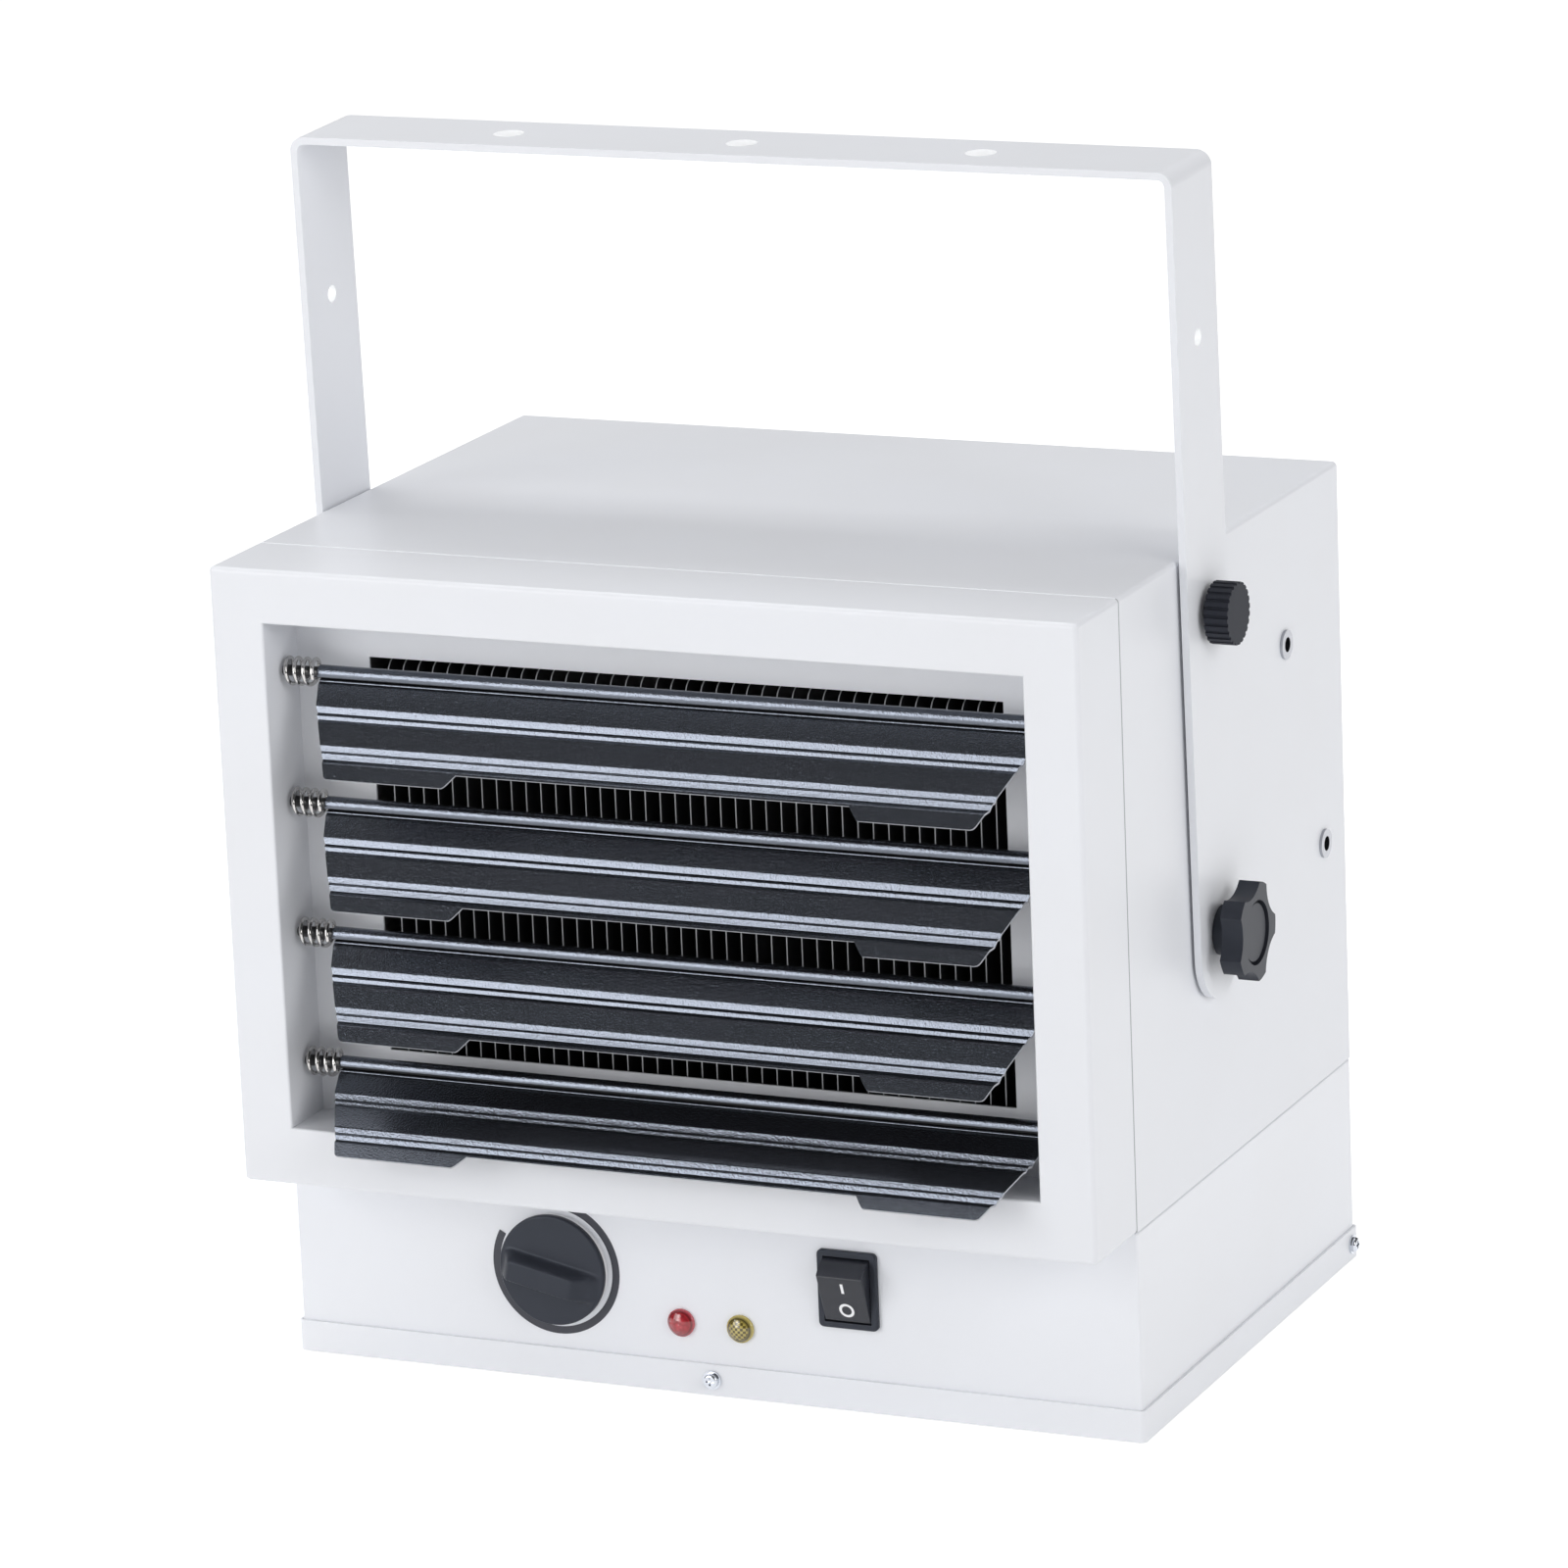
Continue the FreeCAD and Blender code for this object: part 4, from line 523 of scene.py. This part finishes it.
# Thermostat shaft
# Turned steel with zinc plate, the same as the CAD shaft but for its front end.
# That end stops inside the knob's disc, because the knob's grip is off centre here.
shaft_low, shaft_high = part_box("thermostat_shaft")
shaft_radius = (shaft_high[0] - shaft_low[0]) / 2
shaft_sides = 40
shaft_cover = 0.0004
shaft_points = []
for end_y in (knob_face + shaft_cover, shaft_high[1]):
    for side in range(shaft_sides):
        shaft_points.append(dial_point(shaft_radius, 2 * math.pi * side / shaft_sides, end_y))
shaft_faces = [tuple(range(shaft_sides)), tuple(reversed(range(shaft_sides, 2 * shaft_sides)))]
for side in range(shaft_sides):
    after = (side + 1) % shaft_sides
    shaft_faces.append((side, side + shaft_sides, after + shaft_sides, after))
dial_shaft = piece("dial_shaft", shaft_points, shaft_faces, zinc_plate)
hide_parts("thermostat_shaft")
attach(dial_shaft, "dial")

# Rocker
# Smooth black moulding on two trunnions in the switch housing, at rest with its lower half pressed in.
# White on and off marks are printed on its face.
rocker_black = shader("rocker_black", (0.021, 0.023, 0.031), 0.32)
gloss(rocker_black, 0.4)
grain(rocker_black, 1600.0, 0.000008)
mottle(rocker_black, (0.027, 0.029, 0.037), 90.0)
dress(rocker_black, "rocker")
mark_white = shader("mark_white", (0.93, 0.93, 0.94), 0.5)
mottle(mark_white, (0.87, 0.87, 0.89), 400.0)
rocker_joint = next(joint for joint in frame["joints"] if joint["child"] == "rocker")
rocker_pivot = Vector(rocker_joint["pos_m"])
rocker_face = 0.0074
rocker_tilt = math.radians(21.0)
face_out = Vector((0.0, -math.cos(rocker_tilt), -math.sin(rocker_tilt)))
face_up = Vector((0.0, -math.sin(rocker_tilt), math.cos(rocker_tilt)))
mark_stroke = 0.0012
mark_x = 0.0006
on_mark_half = 0.0024
on_mark_up = 0.0058
off_mark_radius = 0.0028
off_mark_narrow = 0.95
off_mark_up = -0.0052
off_mark_steps = 40


def rocker_mark(name, points, faces):
    """White ink on the rocker's face, from places across and up the face."""
    base = rocker_pivot + face_out * (rocker_face + print_lift)
    places = [base + Vector((x, 0, 0)) + face_up * w for x, w in points]
    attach(piece(name, places, faces, mark_white), "rocker")


on_points = []
for across, along in ((-1, -1), (1, -1), (1, 1), (-1, 1)):
    on_points.append((mark_x + across * mark_stroke / 2, on_mark_up + along * on_mark_half))
rocker_mark("rocker_on_mark", on_points, [(0, 1, 2, 3)])
off_points = []
off_faces = []
for step in range(off_mark_steps):
    angle = 2 * math.pi * step / off_mark_steps
    after = (step + 1) % off_mark_steps
    for radius in (off_mark_radius - mark_stroke / 2, off_mark_radius + mark_stroke / 2):
        across = radius * off_mark_narrow * math.cos(angle)
        off_points.append((mark_x + across, off_mark_up + radius * math.sin(angle)))
    off_faces.append((2 * step, 2 * step + 1, 2 * after + 1, 2 * after))
rocker_mark("rocker_off_mark", off_points, off_faces)

# Lamps
# Clear moulded neon lenses, one red and one amber, clipped in the panel.
# The amber lens has a fine square pattern inside, the red one soft flutes; both are painted lighter in the
# middle, with a painted shaded ring near the edge and a painted highlight on the rim.
lens_roughness = 0.12
lens_coat = 0.7
pattern_reach = 0.72
# Colour stops from the middle out: a painted glow, then a painted shaded ring, then a painted highlight on
# the rim.
red_stops = ((0.0, (0.62, 0.06, 0.08)), (0.70, (0.45, 0.02, 0.03)),
             (0.86, (0.14, 0.004, 0.008)), (1.0, (0.52, 0.06, 0.08)))
amber_stops = ((0.0, (0.60, 0.50, 0.16)), (0.66, (0.42, 0.33, 0.07)),
               (0.80, (0.030, 0.022, 0.003)), (0.97, (0.50, 0.40, 0.10)))


def lens(name, node, stops, dark, pattern, output, cell):
    """A lens whose colour runs out from its middle through stops, with a pattern of darker lines."""
    low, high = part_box(node)
    radius = (high[0] - low[0]) / 2
    middle = ((low[0] + high[0]) / 2, 0.0, (low[2] + high[2]) / 2)
    material = shader(name, stops[0][1], lens_roughness, coat=lens_coat)
    tree = material.node_tree
    centred = vector_step(tree, "SUBTRACT", place_on(tree), middle)
    flat = vector_step(tree, "MULTIPLY", centred, (1.0 / radius, 0.0, 1.0 / radius))
    reach = vector_step(tree, "LENGTH", flat)
    ramp = tree.nodes.new("ShaderNodeValToRGB")
    while len(ramp.color_ramp.elements) < len(stops):
        ramp.color_ramp.elements.new(0.5)
    for element, (position, colour) in zip(ramp.color_ramp.elements, stops):
        element.position = position
        element.color = (*colour, 1.0)
    tree.links.new(reach, ramp.inputs["Fac"])
    tree.links.new(ramp.outputs["Color"], tree.nodes["Principled BSDF"].inputs["Base Color"])
    cells = tree.nodes.new(pattern)
    cells.inputs["Scale"].default_value = radius / cell
    tree.links.new(flat, cells.inputs["Vector"])
    inside = number_step(tree, "LESS_THAN", reach, pattern_reach)
    paint_over(material, number_step(tree, "MULTIPLY", cells.outputs[output], inside), dark)
    dress(material, node)


lens("red_lens", "red_lamp", red_stops, (0.22, 0.004, 0.010), "ShaderNodeTexVoronoi", "Distance", 0.0020)
lens("amber_lens", "amber_lamp", amber_stops, (0.09, 0.065, 0.008), "ShaderNodeTexChecker", "Fac", 0.0011)

# Floor, lights and camera
# Pale studio floor, one large soft light overhead and two soft lights from the front left and front right.
# Reflections see a dim room with two bright parts at the front left, which draw the bands on the blades.
floor_half = 6.0
floor_gap = 0.0005
floor_glow = 0.42
floor_least_glow = 0.10
floor_white = shader("floor_white", (0.90, 0.90, 0.90), 0.8)
floor_tree = floor_white.node_tree
floor_surface = floor_tree.nodes["Principled BSDF"]
floor_surface.inputs["Emission Color"].default_value = (1.0, 1.0, 1.0, 1.0)
floor_ray = floor_tree.nodes.new("ShaderNodeLightPath").outputs
seen = number_step(floor_tree, "MAXIMUM", floor_ray["Is Camera Ray"], floor_ray["Is Glossy Ray"])
seen = number_step(floor_tree, "MAXIMUM", seen, floor_ray["Is Transmission Ray"])
glow = number_step(floor_tree, "MULTIPLY_ADD", seen, floor_glow, floor_least_glow)
floor_tree.links.new(glow, floor_surface.inputs["Emission Strength"])
floor_corners = [(x * floor_half, y * floor_half, 0) for x, y in ((-1, -1), (1, -1), (1, 1), (-1, 1))]
floor = piece("floor", floor_corners, [(0, 1, 2, 3)], floor_white)
floor.location.z = -floor_gap


def soft_light(name, place, target, width, height, power):
    """A soft panel light turned towards a point."""
    lamp = bpy.data.lights.new(name, "AREA")
    lamp.shape = "RECTANGLE"
    lamp.size = width
    lamp.size_y = height
    lamp.energy = power
    holder = bpy.data.objects.new(name, lamp)
    bpy.context.scene.collection.objects.link(holder)
    holder.location = place
    holder.rotation_euler = (Vector(target) - Vector(place)).to_track_quat("-Z", "Y").to_euler()


soft_light("overhead", (-0.6, 0.40, 2.45), (-0.6, 0.40, 0.0), 2.2, 1.3, 26.0)
soft_light("front_left", (-2.4, -3.0, 1.2), (0.0, 0.0, 0.2), 2.2, 2.2, 48.0)
soft_light("front_right", (3.9, -1.8, 1.85), (0.0, 0.0, 0.2), 2.4, 2.4, 58.0)

room_level = 0.48
dim_level = 0.14
backdrop_level = 1.0
bright_parts = (((-0.40, -0.91, 0.02), 0.945, 0.99, 5.2), ((-0.40, -0.82, 0.41), 0.965, 0.998, 4.6))
world = bpy.data.worlds.new("studio")
world.use_nodes = True
world_tree = world.node_tree
world_ray = world_tree.nodes.new("ShaderNodeLightPath").outputs
world_place = world_tree.nodes.new("ShaderNodeTexCoord").outputs["Generated"]


def bright_part(direction, edge, middle, level):
    """The level that a reflection sees, which rises from dim towards one direction."""
    bright = world_tree.nodes.new("ShaderNodeMapRange")
    bright.inputs["From Min"].default_value = edge
    bright.inputs["From Max"].default_value = middle
    bright.inputs["To Min"].default_value = dim_level
    bright.inputs["To Max"].default_value = level
    towards = vector_step(world_tree, "DOT_PRODUCT", world_place, direction)
    world_tree.links.new(towards, bright.inputs["Value"])
    return bright.outputs["Result"]


def choose(ray, otherwise, level):
    """One level for a kind of ray, and another for the rest."""
    mix = world_tree.nodes.new("ShaderNodeMix")
    feed(world_tree, mix.inputs["Factor"], ray)
    feed(world_tree, mix.inputs["A"], otherwise)
    feed(world_tree, mix.inputs["B"], level)
    return mix.outputs["Result"]


reflected = number_step(world_tree, "MAXIMUM", *[bright_part(*values) for values in bright_parts])
room = choose(world_ray["Is Glossy Ray"], room_level, reflected)
backdrop = choose(world_ray["Is Camera Ray"], room, backdrop_level)
background = world_tree.nodes["Background"]
background.inputs["Color"].default_value = (1.0, 1.0, 1.0, 1.0)
world_tree.links.new(backdrop, background.inputs["Strength"])
bpy.context.scene.world = world

camera_data = bpy.data.cameras.new("camera")
camera_data.sensor_width = 36.0
camera_data.lens = 180.2
camera_data.clip_end = 50.0
camera = bpy.data.objects.new("camera", camera_data)
bpy.context.scene.collection.objects.link(camera)
right = Vector((0.9129, 0.4063, -0.0399))
up = Vector((-0.0701, 0.2524, 0.9651))
back = Vector((0.4022, -0.8782, 0.2589))
turn = Matrix((right, up, back)).transposed()
camera.matrix_world = Matrix.Translation((1.2754, -2.8142, 1.0510)) @ turn.to_4x4()
bpy.context.scene.camera = camera

bpy.context.scene.view_settings.view_transform = "Standard"
